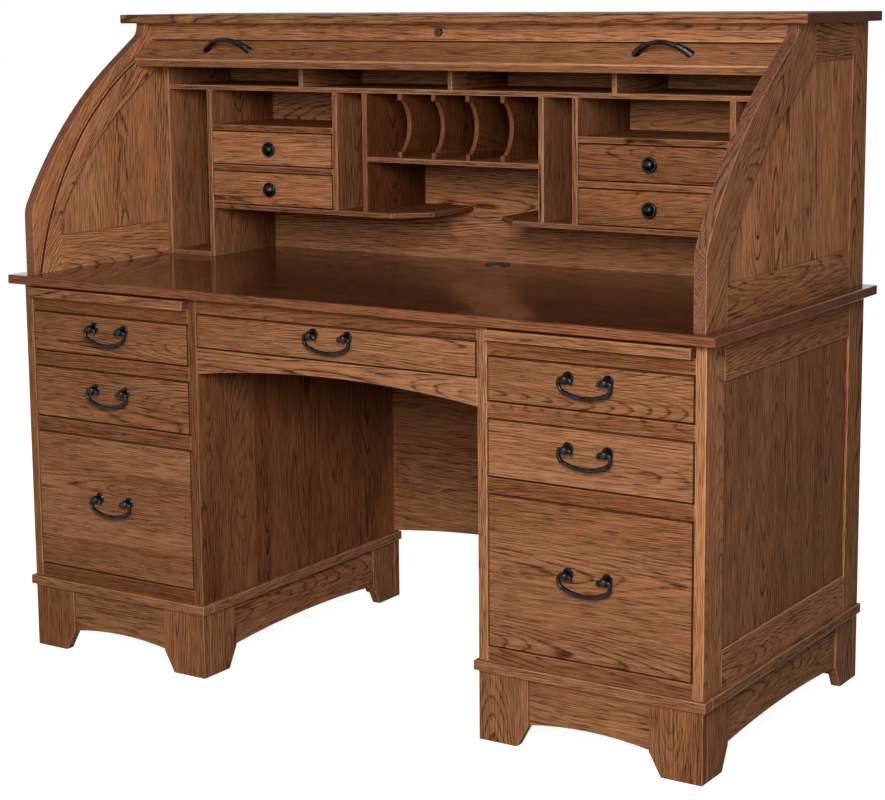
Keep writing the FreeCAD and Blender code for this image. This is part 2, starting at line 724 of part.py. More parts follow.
HEAD_CENTRE = (
    TRACK_CENTRE[0] - (TRACK_R - HEAD_TURN_R) * math.cos(HEAD_ANGLE),
    TRACK_CENTRE[1] + (TRACK_R - HEAD_TURN_R) * math.sin(HEAD_ANGLE),
)
REAR_RUN_Y = (UNIT_BACK_Y + THIN_PANEL_T + BACK_FACE) / 2
CURTAIN_TOP_Z = HEAD_CENTRE[1] + HEAD_TURN_R
REAR_CENTRE = (REAR_RUN_Y - REAR_TURN_R, CURTAIN_TOP_Z - REAR_TURN_R)
CANVAS_INSET = SLAT_T / 2
SLAT_PITCH = SLAT_W + SLAT_GAP
SLAT_COUNT = math.ceil((TRACK_R - CANVAS_INSET) * 2 * HALF_SWING / SLAT_PITCH) + SPARE_SLATS
CURTAIN_START = LIFT_RAIL_W / 2 + CURTAIN_GAP
FIRST_SLAT = CURTAIN_START + SLAT_PITCH / 2
CURTAIN_END = CURTAIN_START + SLAT_PITCH * SLAT_COUNT
HEAD_RUN = (TRACK_R - CANVAS_INSET) * math.radians(TRACK_LEAD)
TURN_RUN = (HEAD_TURN_R - CANVAS_INSET) * HEAD_TURN
FLAT_RUN = REAR_CENTRE[0] - HEAD_CENTRE[0]
REAR_TURN_RUN = (REAR_TURN_R - CANVAS_INSET) * math.pi / 2
DOWN_RUN = CURTAIN_END - HEAD_RUN - TURN_RUN - FLAT_RUN - REAR_TURN_RUN
TRACK_TAIL_Z = REAR_CENTRE[1] - DOWN_RUN - TRACK_W


def polar(centre, radius, angle):
    """The point of a circle at this angle, measured upwards from the -Y side."""
    return (centre[0] - radius * math.cos(angle), centre[1] + radius * math.sin(angle))


def track_edges(x, inset, start_angle, tail_z):
    """The track from start_angle to the end of its run behind the pigeonholes, moved in by inset."""
    right = math.pi / 2
    pieces = [
        (TRACK_CENTRE, TRACK_R - inset, start_angle, HEAD_ANGLE),
        (HEAD_CENTRE, HEAD_TURN_R - inset, HEAD_ANGLE, right),
        (REAR_CENTRE, REAR_TURN_R - inset, right, 2 * right),
    ]
    ends = []
    edges = []
    for centre, radius, low, high in pieces:
        a = polar(centre, radius, low)
        b = polar(centre, radius, high)
        if ends:
            edges += [] if math.dist(ends[-1], a) < 1e-6 else chain(at_x, x, [ends[-1], a])
        edges.append(arc(at_x(x, a), at_x(x, polar(centre, radius, (low + high) / 2)), at_x(x, b)))
        ends += [a, b]
    tail = (ends[-1][0], tail_z)
    edges += chain(at_x, x, [ends[-1], tail])
    return edges, ends[0], tail


def track_band(x, depth, outer, inner, start_angle, tail_z):
    """A band that follows the track between two insets, as deep along X as told."""
    outer_edges, outer_start, outer_tail = track_edges(x, outer, start_angle, tail_z)
    inner_edges, inner_start, inner_tail = track_edges(x, inner, start_angle, tail_z)
    edges = outer_edges + inner_edges
    edges += chain(at_x, x, [outer_start, inner_start]) + chain(at_x, x, [outer_tail, inner_tail])
    face = Part.Face(Part.Wire(Part.__sortEdges__(edges)))
    return face.extrude(V(depth, 0, 0))


def track_place(run):
    """Point and heading of the track at a distance along the canvas past the pin of the open lift rail."""
    if run < HEAD_RUN:
        angle = OPEN_ANGLE + run / (TRACK_R - CANVAS_INSET)
        return polar(TRACK_CENTRE, TRACK_R, angle), math.pi / 2 - angle
    run -= HEAD_RUN
    if run < TURN_RUN:
        angle = HEAD_ANGLE + run / (HEAD_TURN_R - CANVAS_INSET)
        return polar(HEAD_CENTRE, HEAD_TURN_R, angle), math.pi / 2 - angle
    run -= TURN_RUN
    if run < FLAT_RUN:
        return (HEAD_CENTRE[0] + run, CURTAIN_TOP_Z), 0.0
    run -= FLAT_RUN
    if run < REAR_TURN_RUN:
        angle = math.pi / 2 + run / (REAR_TURN_R - CANVAS_INSET)
        return polar(REAR_CENTRE, REAR_TURN_R, angle), math.pi / 2 - angle
    run -= REAR_TURN_RUN
    return (REAR_RUN_Y, REAR_CENTRE[1] - run), -math.pi / 2


def tilted_bar(half_x, width, thickness, place, heading):
    """A bar along X with its width along the heading."""
    bar = Part.makeBox(2 * half_x, width, thickness, V(-half_x, -width / 2, -thickness / 2))
    bar.rotate(V(0, 0, 0), V(1, 0, 0), math.degrees(heading))
    bar.translate(at_x(0, place))
    return bar


def lift_rail():
    """The rail under the fascia, with a round pin at each end that runs in the track."""
    half_x = ROLL_IN_X - LIFT_RAIL_END_GAP
    bar = tilted_bar(half_x, LIFT_RAIL_W, LIFT_RAIL_T, OPEN_PIN, RAIL_TILT)
    pin_l = TRACK_DEPTH
    pin_r = TRACK_W / 2 - TRACK_CLEARANCE
    pins = [disc(at_x(side * half_x, OPEN_PIN), V(side, 0, 0), pin_r, pin_l) for side in (1, -1)]
    return [bar] + pins


def tambour_slats():
    half_x = ROLL_IN_X + TRACK_DEPTH - TRACK_CLEARANCE
    slats = []
    for index in range(SLAT_COUNT):
        place, heading = track_place(FIRST_SLAT + index * SLAT_PITCH)
        slats.append(tilted_bar(half_x, SLAT_W, SLAT_T, place, heading))
    return slats


def tambour_canvas():
    start_angle = OPEN_ANGLE + CURTAIN_START / (TRACK_R - CANVAS_INSET)
    half_x = ROLL_IN_X - CANVAS_SET_IN
    tail_z = TRACK_TAIL_Z + TRACK_W
    back_inset = CANVAS_INSET + CANVAS_T
    return track_band(-half_x, 2 * half_x, CANVAS_INSET, back_inset, start_angle, tail_z)


def lift_handle(x, rail):
    """A bowed handle on the broad face of the lift rail: slim in the middle, flared to its two feet."""
    lower = (RAIL_ARRIS[0] - RAIL_ALONG[0] * LIFT_RAIL_W, RAIL_ARRIS[1] - RAIL_ALONG[1] * LIFT_RAIL_W)
    seat = (lower[0] + RAIL_ALONG[0] * HANDLE_UP_RAIL, lower[1] + RAIL_ALONG[1] * HANDLE_UP_RAIL)

    def at(px, out):
        return V(x + px, seat[0] + RAIL_OUT[0] * out, seat[1] + RAIL_OUT[1] * out)

    half = HANDLE_SPAN / 2
    bow = Part.Arc(at(-half, 0), at(0, HANDLE_RISE - HANDLE_R), at(half, 0))
    first = bow.FirstParameter
    last = bow.LastParameter

    def ring(parameter, radius):
        return Part.Wire(Part.makeCircle(radius, bow.value(parameter), bow.tangent(parameter)[0]))

    sections = [ring(first, HANDLE_FOOT_R), ring((first + last) / 2, HANDLE_R), ring(last, HANDLE_FOOT_R)]
    rod = Part.Wire([bow.toShape()]).makePipeShell(sections, True, False)
    return rod.cut(rail)


# Lock in the middle of the fascia
LOCK_Z = FASCIA_Z + FASCIA_H / 2


def roll_lock():
    start = V(0, FASCIA_FRONT - LOCK_FLANGE_T, LOCK_Z)
    back = V(0, 1, 0)
    flange = disc(start, back, LOCK_FLANGE_R, LOCK_FLANGE_T)
    barrel = disc(start, back, LOCK_R, LOCK_FLANGE_T + LOCK_L)
    return flange.fuse(barrel).cut(disc(start, back, PLUG_R + PLUG_CLEARANCE, LOCK_FLANGE_T + LOCK_L))


def lock_plug():
    start = V(0, FASCIA_FRONT - LOCK_FLANGE_T, LOCK_Z)
    plug = disc(start, V(0, 1, 0), PLUG_R, LOCK_FLANGE_T + LOCK_L)
    keyway = block(
        -KEYWAY_W / 2, KEYWAY_W / 2, start.y, start.y + KEYWAY_D, LOCK_Z - KEYWAY_H / 2, LOCK_Z + KEYWAY_H / 2
    )
    return plug.cut(keyway)


# Pigeonhole unit on the desktop. Its widths and heights are stretched to the room in the case.
UNIT_X = ROLL_IN_X - UNIT_SIDE_GAP
UNIT_TOP = CURTAIN_TOP_Z - UNIT_CURTAIN_GAP
UNIT_FIT_X = UNIT_X / (TALL_SLOT_PITCH + DRAWER_BAY_PITCH + NARROW_SLOT_PITCH + LETTER_HALF_W)
UNIT_BAYS_H = UNDER_SHELF_H + UPPER_OPENING_H + TOP_ROW_H
UNIT_DRAWERS_H = 2 * SMALL_OPENING_H
UNIT_SPARE_H = UNIT_TOP - WRITING_H - 3 * SHELF_T - 2 * UNIT_T - UNIT_BAYS_H - UNIT_DRAWERS_H
UNIT_STRETCH = UNIT_SPARE_H / (UNIT_BAYS_H + UNIT_DRAWERS_H * SMALL_GIVE)
UNIT_FIT_Z = 1 + UNIT_STRETCH
OUTER_UPRIGHT_X = UNIT_X - TALL_SLOT_PITCH * UNIT_FIT_X
INNER_UPRIGHT_X = OUTER_UPRIGHT_X - DRAWER_BAY_PITCH * UNIT_FIT_X
LETTER_UPRIGHT_X = LETTER_HALF_W * UNIT_FIT_X
SHELF_END_X = SHELF_END * UNIT_FIT_X
SMALL_H = SMALL_OPENING_H * (1 + UNIT_STRETCH * SMALL_GIVE)
SHELF_Z = WRITING_H + UNDER_SHELF_H * UNIT_FIT_Z
SHELF_TOP = SHELF_Z + SHELF_T
LOWER_SMALL_TOP = SHELF_TOP + SMALL_H
UPPER_SMALL_Z = LOWER_SMALL_TOP + UNIT_T
UPPER_SMALL_TOP = UPPER_SMALL_Z + SMALL_H
TIER_Z = UPPER_SMALL_TOP + UNIT_T + UPPER_OPENING_H * UNIT_FIT_Z
TIER_TOP = TIER_Z + SHELF_T
TOP_ROW_TOP = UNIT_TOP - SHELF_T


def unit_board(x0, x1, z0, z1):
    return block(x0, x1, UNIT_Y, UNIT_BACK_Y, z0, z1)


def upright(x, z0, z1):
    return unit_board(x - UNIT_T / 2, x + UNIT_T / 2, z0, z1)


def pigeonhole_uprights():
    boards = []
    for side in (1, -1):
        boards.append(unit_board(side * (UNIT_X - UNIT_T), side * UNIT_X, WRITING_H, UNIT_TOP))
        boards.append(upright(side * OUTER_UPRIGHT_X, WRITING_H, TIER_Z))
        boards.append(upright(side * INNER_UPRIGHT_X, SHELF_TOP, TIER_Z))
        boards.append(upright(side * LETTER_UPRIGHT_X, SHELF_TOP, TIER_Z))
    for x in (-UNIT_X / 2, 0, UNIT_X / 2):
        boards.append(unit_board(x - SHELF_T / 2, x + SHELF_T / 2, TIER_TOP, TOP_ROW_TOP))
    return boards


def clipped_shelf(side):
    """The shelf under the small drawers, whose free end has a clipped front corner."""
    wall_x = side * (OUTER_UPRIGHT_X - UNIT_T / 2)
    end_x = side * SHELF_END_X
    clip_x = side * (SHELF_END_X + SHELF_CLIP)
    points = [
        V(wall_x, UNIT_Y, SHELF_Z),
        V(clip_x, UNIT_Y, SHELF_Z),
        V(end_x, UNIT_Y + SHELF_CLIP, SHELF_Z),
        V(end_x, UNIT_BACK_Y, SHELF_Z),
        V(wall_x, UNIT_BACK_Y, SHELF_Z),
    ]
    return closed_face(points).extrude(V(0, 0, SHELF_T))


LETTER_SHELF_TOP = TIER_Z - LETTER_SLOT_H * UNIT_FIT_Z


def pigeonhole_shelves():
    wall_x = UNIT_X - UNIT_T
    letter_x = LETTER_UPRIGHT_X - UNIT_T / 2
    boards = [
        unit_board(-wall_x, wall_x, TIER_Z, TIER_TOP),
        unit_board(-wall_x, wall_x, TOP_ROW_TOP, UNIT_TOP),
        unit_board(-letter_x, letter_x, LETTER_SHELF_TOP - SHELF_T, LETTER_SHELF_TOP),
    ]
    for side in (1, -1):
        slot_x = side * (OUTER_UPRIGHT_X + UNIT_T / 2)
        bay_out = side * (OUTER_UPRIGHT_X - UNIT_T / 2)
        bay_in = side * (INNER_UPRIGHT_X + UNIT_T / 2)
        boards.append(unit_board(slot_x, side * wall_x, WRITING_H, WRITING_H + SHELF_T))
        boards.append(unit_board(bay_in, bay_out, LOWER_SMALL_TOP, UPPER_SMALL_Z))
        boards.append(unit_board(bay_in, bay_out, UPPER_SMALL_TOP, UPPER_SMALL_TOP + UNIT_T))
        boards.append(clipped_shelf(side))
    return boards


def letter_dividers():
    """Thin upright boards whose front edge steps back from two lips to a scoop."""
    letter_x = LETTER_UPRIGHT_X - UNIT_T / 2
    pitch = 2 * letter_x / LETTER_SLOTS
    low = LETTER_SHELF_TOP
    high = TIER_Z
    lip = LETTER_LIP * UNIT_FIT_Z
    boards = []
    for index in range(1, LETTER_SLOTS):
        x = -letter_x + index * pitch - LETTER_T / 2
        low_step = (UNIT_Y + LETTER_STEP, low + lip)
        high_step = (UNIT_Y + LETTER_STEP, high - lip)
        edges = chain(at_x, x, [high_step, (UNIT_Y, high - lip), (UNIT_Y, high), (UNIT_BACK_Y, high)])
        edges += chain(at_x, x, [(UNIT_BACK_Y, high), (UNIT_BACK_Y, low), (UNIT_Y, low)])
        edges += chain(at_x, x, [(UNIT_Y, low), (UNIT_Y, low + lip), low_step])
        scoop_mid = (UNIT_Y + LETTER_SCOOP * UNIT_FIT_Z, (low + high) / 2)
        edges.append(arc(at_x(x, low_step), at_x(x, scoop_mid), at_x(x, high_step)))
        face = Part.Face(Part.Wire(Part.__sortEdges__(edges)))
        boards.append(face.extrude(V(LETTER_T, 0, 0)))
    return boards


def pigeonhole_back():
    return block(-UNIT_X, UNIT_X, UNIT_BACK_Y, UNIT_BACK_Y + THIN_PANEL_T, WRITING_H, UNIT_TOP)


def small_drawer(x0, x1, z0, z1):
    box_y = UNIT_Y + SMALL_FRONT_T
    rear_y = UNIT_BACK_Y - SMALL_REAR_GAP
    left = x0 + SMALL_REVEAL
    right = x1 - SMALL_REVEAL
    low = z0 + RUN_GAP
    high = z1 - SMALL_SIDE_DROP
    floor_top = low + SMALL_BOTTOM_T
    inner_left = left + SMALL_SIDE_T
    inner_right = right - SMALL_SIDE_T
    return [
        block(left, right, UNIT_Y, box_y, z0 + SMALL_REVEAL, z1 - SMALL_REVEAL),
        block(left, inner_left, box_y, rear_y, low, high),
        block(inner_right, right, box_y, rear_y, low, high),
        block(inner_left, inner_right, rear_y - SMALL_SIDE_T, rear_y, floor_top, high),
        block(inner_left, inner_right, box_y, rear_y, low, floor_top),
    ]


def knob(x, z):
    """A turned knob: a narrow neck, a rounded rim and a dome on it."""
    base = V(x, UNIT_Y, z)
    out = V(0, -1, 0)
    rim_base = base + out * KNOB_NECK_L
    rim_face = rim_base + out * KNOB_RIM_T
    neck = disc(base, out, KNOB_NECK_R, KNOB_NECK_L)
    rim = disc(rim_base, out, KNOB_R, KNOB_RIM_T)
    rim = rim.makeFillet(KNOB_RIM_ROUND, [edge for edge in rim.Edges if edge.Closed])
    ball_r = (KNOB_DOME_R ** 2 + KNOB_DOME_H ** 2) / (2 * KNOB_DOME_H)
    ball_middle = rim_face + out * (KNOB_DOME_H - ball_r)
    from_rim = math.degrees(math.asin((ball_r - KNOB_DOME_H - KNOB_RIM_T / 2) / ball_r))
    dome = Part.makeSphere(ball_r, ball_middle, out, from_rim, 90.0, 360.0)
    return neck.fuse(rim).fuse(dome)


def add_small_drawers(side, word):
    x0, x1 = sorted((side * (INNER_UPRIGHT_X + UNIT_T / 2), side * (OUTER_UPRIGHT_X - UNIT_T / 2)))
    for place, z0 in [("lower", SHELF_TOP), ("upper", UPPER_SMALL_Z)]:
        z1 = z0 + SMALL_H
        name = word + "_" + place + "_small_drawer"
        nodes[name] = group(small_drawer(x0, x1, z0, z1))
        nodes[name + "_knob"] = knob((x0 + x1) / 2, (z0 + z1) / 2)


nodes["desk_top"] = desk_top()
nodes["wire_grommet"] = wire_grommet()
nodes["pedestal_outer_frames"] = group(both_sides(outer_frame))
nodes["pedestal_outer_panels"] = group(both_sides(outer_panel))
nodes["pedestal_inner_sides"] = group(both_sides(inner_side))
nodes["pedestal_front_rails"] = group(both_sides(front_rails))
nodes["drawer_runners"] = group(both_sides(runners))
nodes["pedestal_bottoms"] = group(both_sides(pedestal_bottom))
nodes["pedestal_backs"] = group(both_sides(pedestal_back))
nodes["base_mouldings"] = group(both_sides(moulding))
nodes["bracket_feet"] = group(both_sides(feet))
nodes["base_aprons"] = group(both_sides(aprons))
nodes["kneehole_rails"] = group(kneehole_rails())
nodes["modesty_panel"] = modesty_panel()
nodes["case_side_frames"] = group(both_sides(case_frame))
nodes["case_side_panels"] = group(both_sides(case_panel))
nodes["top_cap"] = top_cap()
nodes["fascia_rail"] = fascia_rail()
nodes["case_back"] = case_back()
nodes["roll_lock"] = roll_lock()
nodes["lock_plug"] = lock_plug()
nodes["pigeonhole_uprights"] = group(pigeonhole_uprights())
nodes["pigeonhole_shelves"] = group(pigeonhole_shelves())
nodes["letter_dividers"] = group(letter_dividers())
nodes["pigeonhole_back"] = pigeonhole_back()

rail_solids = lift_rail()
nodes["lift_rail"] = group(rail_solids)
handle_x = ROLL_IN_X - HANDLE_FROM_END
nodes["lift_handles"] = group([lift_handle(x, rail_solids[0]) for x in (-handle_x, handle_x)])
nodes["tambour_slats"] = group(tambour_slats())
nodes["tambour_canvas"] = tambour_canvas()

for side, word in [(-1, "left"), (1, "right")]:
    nodes[word + "_writing_board"] = writing_board(side)
    add_pedestal_drawers(side, word)
    add_small_drawers(side, word)
add_drawer("centre", -KNEE_X, KNEE_X, CENTRE_OPENING_Z, CENTRE_OPENING_TOP, CENTRE_DRAWER_D)

os.makedirs("parts", exist_ok=True)
for name, shape in nodes.items():
    for solid in shape.Solids:
        assert solid.isValid(), name
    shape.exportStep("parts/" + name + ".step")

print("nodes", len(nodes))
print("roll axis y z", [round(value, 3) for value in TRACK_CENTRE], "radius", round(TRACK_R, 2))
print("swing degrees", round(math.degrees(2 * HALF_SWING), 3), "slats", SLAT_COUNT)
print("lock axis y z", round(FASCIA_FRONT, 3), round(LOCK_Z, 3))
print("pigeonhole top", round(UNIT_TOP, 3), "fit", round(UNIT_FIT_X, 5), round(UNIT_FIT_Z, 5))
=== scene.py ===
import json
import math
import random

import bpy
from mathutils import Matrix, Vector


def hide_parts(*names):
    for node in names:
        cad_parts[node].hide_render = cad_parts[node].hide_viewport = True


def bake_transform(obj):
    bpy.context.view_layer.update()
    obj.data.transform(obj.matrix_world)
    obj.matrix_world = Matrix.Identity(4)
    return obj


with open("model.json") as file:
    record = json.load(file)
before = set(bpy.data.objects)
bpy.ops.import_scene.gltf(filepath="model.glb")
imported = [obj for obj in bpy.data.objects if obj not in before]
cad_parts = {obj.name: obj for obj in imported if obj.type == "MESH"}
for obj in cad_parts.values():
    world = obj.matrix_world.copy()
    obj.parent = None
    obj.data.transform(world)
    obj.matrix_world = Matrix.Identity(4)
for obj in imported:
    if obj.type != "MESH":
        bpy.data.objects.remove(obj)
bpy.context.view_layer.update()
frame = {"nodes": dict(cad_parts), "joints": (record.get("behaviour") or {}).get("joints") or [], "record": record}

# Camera, in the model's frame: metres, degrees and pixels of the photograph
IMAGE_W = 885
IMAGE_H = 800
SENSOR_W = 36.0
CAMERA_AT = (2.1913, -3.3349, 1.3046)
CAMERA_AZIMUTH = 32.942
CAMERA_DOWN = 8.857
CAMERA_ROLL = -0.495
FOCAL_PX = 2090.0
AXIS_ROW_PX = 320.0

# Colours (linear), of oak and then of the other materials
OAK_LIGHT = (0.43, 0.190, 0.085)
OAK_DARK = (0.042, 0.014, 0.006)
TOP_LIGHT = (0.150, 0.050, 0.021)
TOP_DARK = (0.027, 0.008, 0.003)
# Paler oak of eased arrises and pale front edges: partly wear, partly a painted highlight where edges catch the
# light
EDGE_LIGHT = (0.53, 0.280, 0.142)
EDGE_DARK = (0.22, 0.092, 0.041)
END_LIGHT = (0.205, 0.088, 0.050)
END_DARK = (0.050, 0.020, 0.011)
RIM_LIGHT = (0.33, 0.125, 0.055)
RIM_DARK = (0.050, 0.017, 0.007)
# Painted shade: near-black oak for the arrises beside the drawer gaps, the tracks' grooves and the grooves between
# slats
PAINTED_SHADE_LIGHT = (0.060, 0.022, 0.010)
PAINTED_SHADE_DARK = (0.020, 0.007, 0.003)
METAL_LIGHT = (0.036, 0.036, 0.038)
METAL_DARK = (0.014, 0.014, 0.015)
LOCK_LIGHT = (0.085, 0.080, 0.068)
LOCK_DARK = (0.030, 0.029, 0.025)
PLASTIC_LIGHT = (0.022, 0.021, 0.020)
PLASTIC_DARK = (0.010, 0.010, 0.010)
CANVAS_LIGHT = (0.52, 0.46, 0.36)
CANVAS_DARK = (0.30, 0.25, 0.18)
WHITE = (1.0, 1.0, 1.0, 1.0)

# Streaks in oak: repeats in a metre along and across the grain, an offset that keeps them apart, and detail
WANDER = (1.3, 4.0, 0.0, 2.0)
RIPPLE = (8.0, 12.0, 5.0, 1.0)
UNEVEN_RINGS = (4.0, 34.0, 3.0, 3.0)
RING_STRENGTH = (1.1, 9.0, 29.0, 2.0)
FIBRES = (14.0, 390.0, 7.0, 4.0)
FIBRE_ROUGHNESS = 0.7
PORES = (38.0, 480.0, 11.0, 2.0)
FLOW = (1.5, 14.0, 17.0, 3.0)
DASHES = (25.0, 410.0, 31.0, 1.0)
WARMTH = (0.9, 7.0, 23.0, 1.0)
# Steps along the grain that give each strip and each board its own streaks
STRIP_STEP = 0.37
NOISE_STEP = 41.0

# Growth rings about the heart of a strip, in metres and shares of a ring
RINGS_PER_M = 290.0
WANDER_M = 0.05
RIPPLE_M = 0.008
HEART_ASIDE_M = 0.09
HEART_DEPTH_M = 0.018
DEPTH_SPREAD_M = 0.05
HEART_SLOPE = 0.18
RING_UNEVENNESS = 1.6
RING_PROFILE = [(0.0, 0.0), (0.58, 0.0), (0.76, 0.35), (0.86, 1.0), (0.93, 0.6), (1.0, 0.0)]
RING_CONTRAST = [(0.36, 0.30), (0.60, 1.0)]
PORE_CONTRAST = [(0.38, 0.0), (0.62, 1.0)]
DASH_CONTRAST = [(0.52, 0.0), (0.60, 1.0)]

# What darkens the wood, as factor and offset, and how its surface follows
PORES_DARKEN = (0.70, 0.52)
DASHES_DARKEN = (0.26, 0.0)
FIBRES_DARKEN = (1.9, -0.82)
FLOW_DARKENS = (0.55, -0.14)
WARM_SHARES = (0.96, 0.88, 0.80)
WARM_FROM = 0.35
WARM_TO = 0.65
STRIP_TONE_SPREAD = 0.24
GREEN_POWER = 0.3
BLUE_POWER = 0.6
ROUGHNESS_RISE = 0.18
COAT_ROUGHNESS = 0.07
COAT_IOR = 1.27

# Canvas: threads in radians in a metre, and slubs in a metre along and across them
THREADS = 5200.0
SLUBS_ALONG = 30.0
SLUBS_ACROSS = 900.0

# Material slots of the boards, where an edge is the desktop's rim or a track's groove, and of the curtain. The
# pale face is paler oak, partly wear and partly painted highlight; track and curtain grooves take painted shade
PLAIN_FACE, PALE_FACE, END_FACE, EDGE_FACE = range(4)
SLAT_FACE, BACK_FACE, GROOVE_FACE = range(3)

# Boards
ARRIS = 0.0013
WIDE_ARRIS = {
    "lift_rail": 0.0026,
    "pigeonhole_uprights": 0.0018,
    "pigeonhole_shelves": 0.0018,
    "letter_dividers": 0.0018,
}
END_GRAIN = ("top_cap", "left_writing_board", "right_writing_board")
# Cosines from which a face counts as end grain, or as facing an axis
END_GRAIN_COS = 0.7
FACING_COS = 0.5
# Boards whose front edge is painted pale, a painted highlight, where their painted shade is under the dim one
PAINTED_LIT_FRONTS = ("letter_dividers", "pigeonhole_uprights")
DIM_TONE = 0.7
SHARP_ANGLE = 30.0
ARRIS_SEGMENTS = 2
# The lift rail's round pins would narrow all its arrises
UNCLAMPED_ARRIS = ("lift_rail",)
BOARD_STEP = 2.0
JOIN_DISTANCE = 2e-5
KEY_DIGITS = 6
GRAIN_TILT = 0.025
GRAIN_SHIFT = 0.3
# Width of the strips in a glued panel; a single board is narrower than its strip
SINGLE_BOARD = 2.0
PLANKS = {
    "desk_top": 0.105,
    "top_cap": 0.14,
    "pedestal_outer_panels": 0.082,
    "case_side_panels": 0.082,
    "pedestal_inner_sides": 0.11,
    "modesty_panel": 0.12,
    "pigeonhole_back": 0.11,
    "case_back": 0.12,
    "left_file_drawer": 0.145,
    "right_file_drawer": 0.145,
}
# Shade of a node, of its boards on one side or of a single board: partly the wood's own tone, partly painted light
# and shade, darker in the letter slots, the kneehole, under the desktop, between the drawers and on the right
# small drawers, lighter on the fascia, the lift rail, the cap and the left small drawers
PAINTED_LIGHT_AND_TONES = {
    "case_side_panels left": 1.7,
    "case_side_frames left": 1.7,
    "case_side_panels right": 1.8,
    "case_side_frames right": 1.4,
    "pedestal_outer_frames right": 1.25,
    "pedestal_outer_panels right": 0.9,
    "pedestal_inner_sides left": 0.65,
    "pedestal_front_rails": 0.7,
    "letter_dividers": 0.42,
    "pigeonhole_uprights 7": 0.55,
    "pigeonhole_shelves": 0.85,
    "pigeonhole_back": 1.1,
    "modesty_panel": 1.0,
    "fascia_rail": 1.35,
    "kneehole_rails 0": 0.75,
    "lift_rail": 1.25,
    "top_cap": 1.15,
    "left_upper_small_drawer": 1.45,
    "left_lower_small_drawer": 1.45,
    "right_upper_small_drawer": 0.72,
    "right_lower_small_drawer": 0.72,
    "right_top_drawer": 0.88,
    "centre_drawer": 0.95,
    "bracket_feet": 0.88,
}
# Painted shade at the rear of boards that run into the dark of the pigeonholes: their shade falls to this share at
# the back
PAINTED_REAR_SHADE = {
    "letter_dividers": 0.3,
    "pigeonhole_uprights": 0.45,
    "pigeonhole_shelves": 0.6,
}
TONE_SPREAD = 0.1
UPRIGHT_GRAIN = (
    "pedestal_outer_panels", "pedestal_inner_sides", "pedestal_backs",
    "case_side_panels", "case_back", "letter_dividers",
)
CROSS_GRAIN = ("left_writing_board", "right_writing_board")
CURVED_STILE_GRAIN = (0.0, 0.58, 0.81)
CURVED_STILE_W = 0.2

# Curtain of the roll top: a circular track about the roll top's joint
ROLL_TOP = next(row for row in frame["joints"] if row["name"] == "roll_top_close")
ROLL_AXIS_Y, ROLL_AXIS_Z = ROLL_TOP["pos_m"][1:]
ROLL_SWING = math.radians(ROLL_TOP["range_deg"][1])
TRACK_R = 0.60837
TRACK_HALF_W = 0.0075
OPEN_PIN_ANGLE = 64.0
CURTAIN_LEAD = 0.0355
CANVAS_INSET = 0.004
CANVAS_R = TRACK_R - CANVAS_INSET
SLAT_PITCH = 0.025
SLAT_COUNT = 22
SLAT_HALF_LENGTH = 0.7297
CANVAS_BACK = -0.005
# One slat across its width: (share of the pitch, height over the track's middle line)
SLAT_PROFILE = [
    (0.04, -0.0032), (0.05, -0.0006), (0.10, 0.0008), (0.18, 0.0022), (0.32, 0.0034),
    (0.50, 0.0040), (0.68, 0.0034), (0.82, 0.0022), (0.90, 0.0008), (0.95, -0.0006), (0.96, -0.0032),
]
GROOVE_RISE = 0.0004
SLAT_GRAIN = 0.4
SLAT_TONE_SPREAD = 0.17
SLAT_ANGLE = SLAT_PITCH / CANVAS_R
STORED_LOW = math.radians(OPEN_PIN_ANGLE) + CURTAIN_LEAD / CANVAS_R
CLOSED_LOW = STORED_LOW - ROLL_SWING
STORED_HIGH = CLOSED_LOW + SLAT_ANGLE * SLAT_COUNT
HALVINGS = 50

# Studio
FLOOR_HALF = 30.0
FLOOR_DARK = 0.48
FLOOR_LIGHT = 0.52
FLOOR_ROUGHNESS = 0.9
FLOOR_SHEEN = 0.1
FLOOR_SEEN = 0.95
WORLD_LIGHT = 0.06
WORLD_SEEN = 1.0


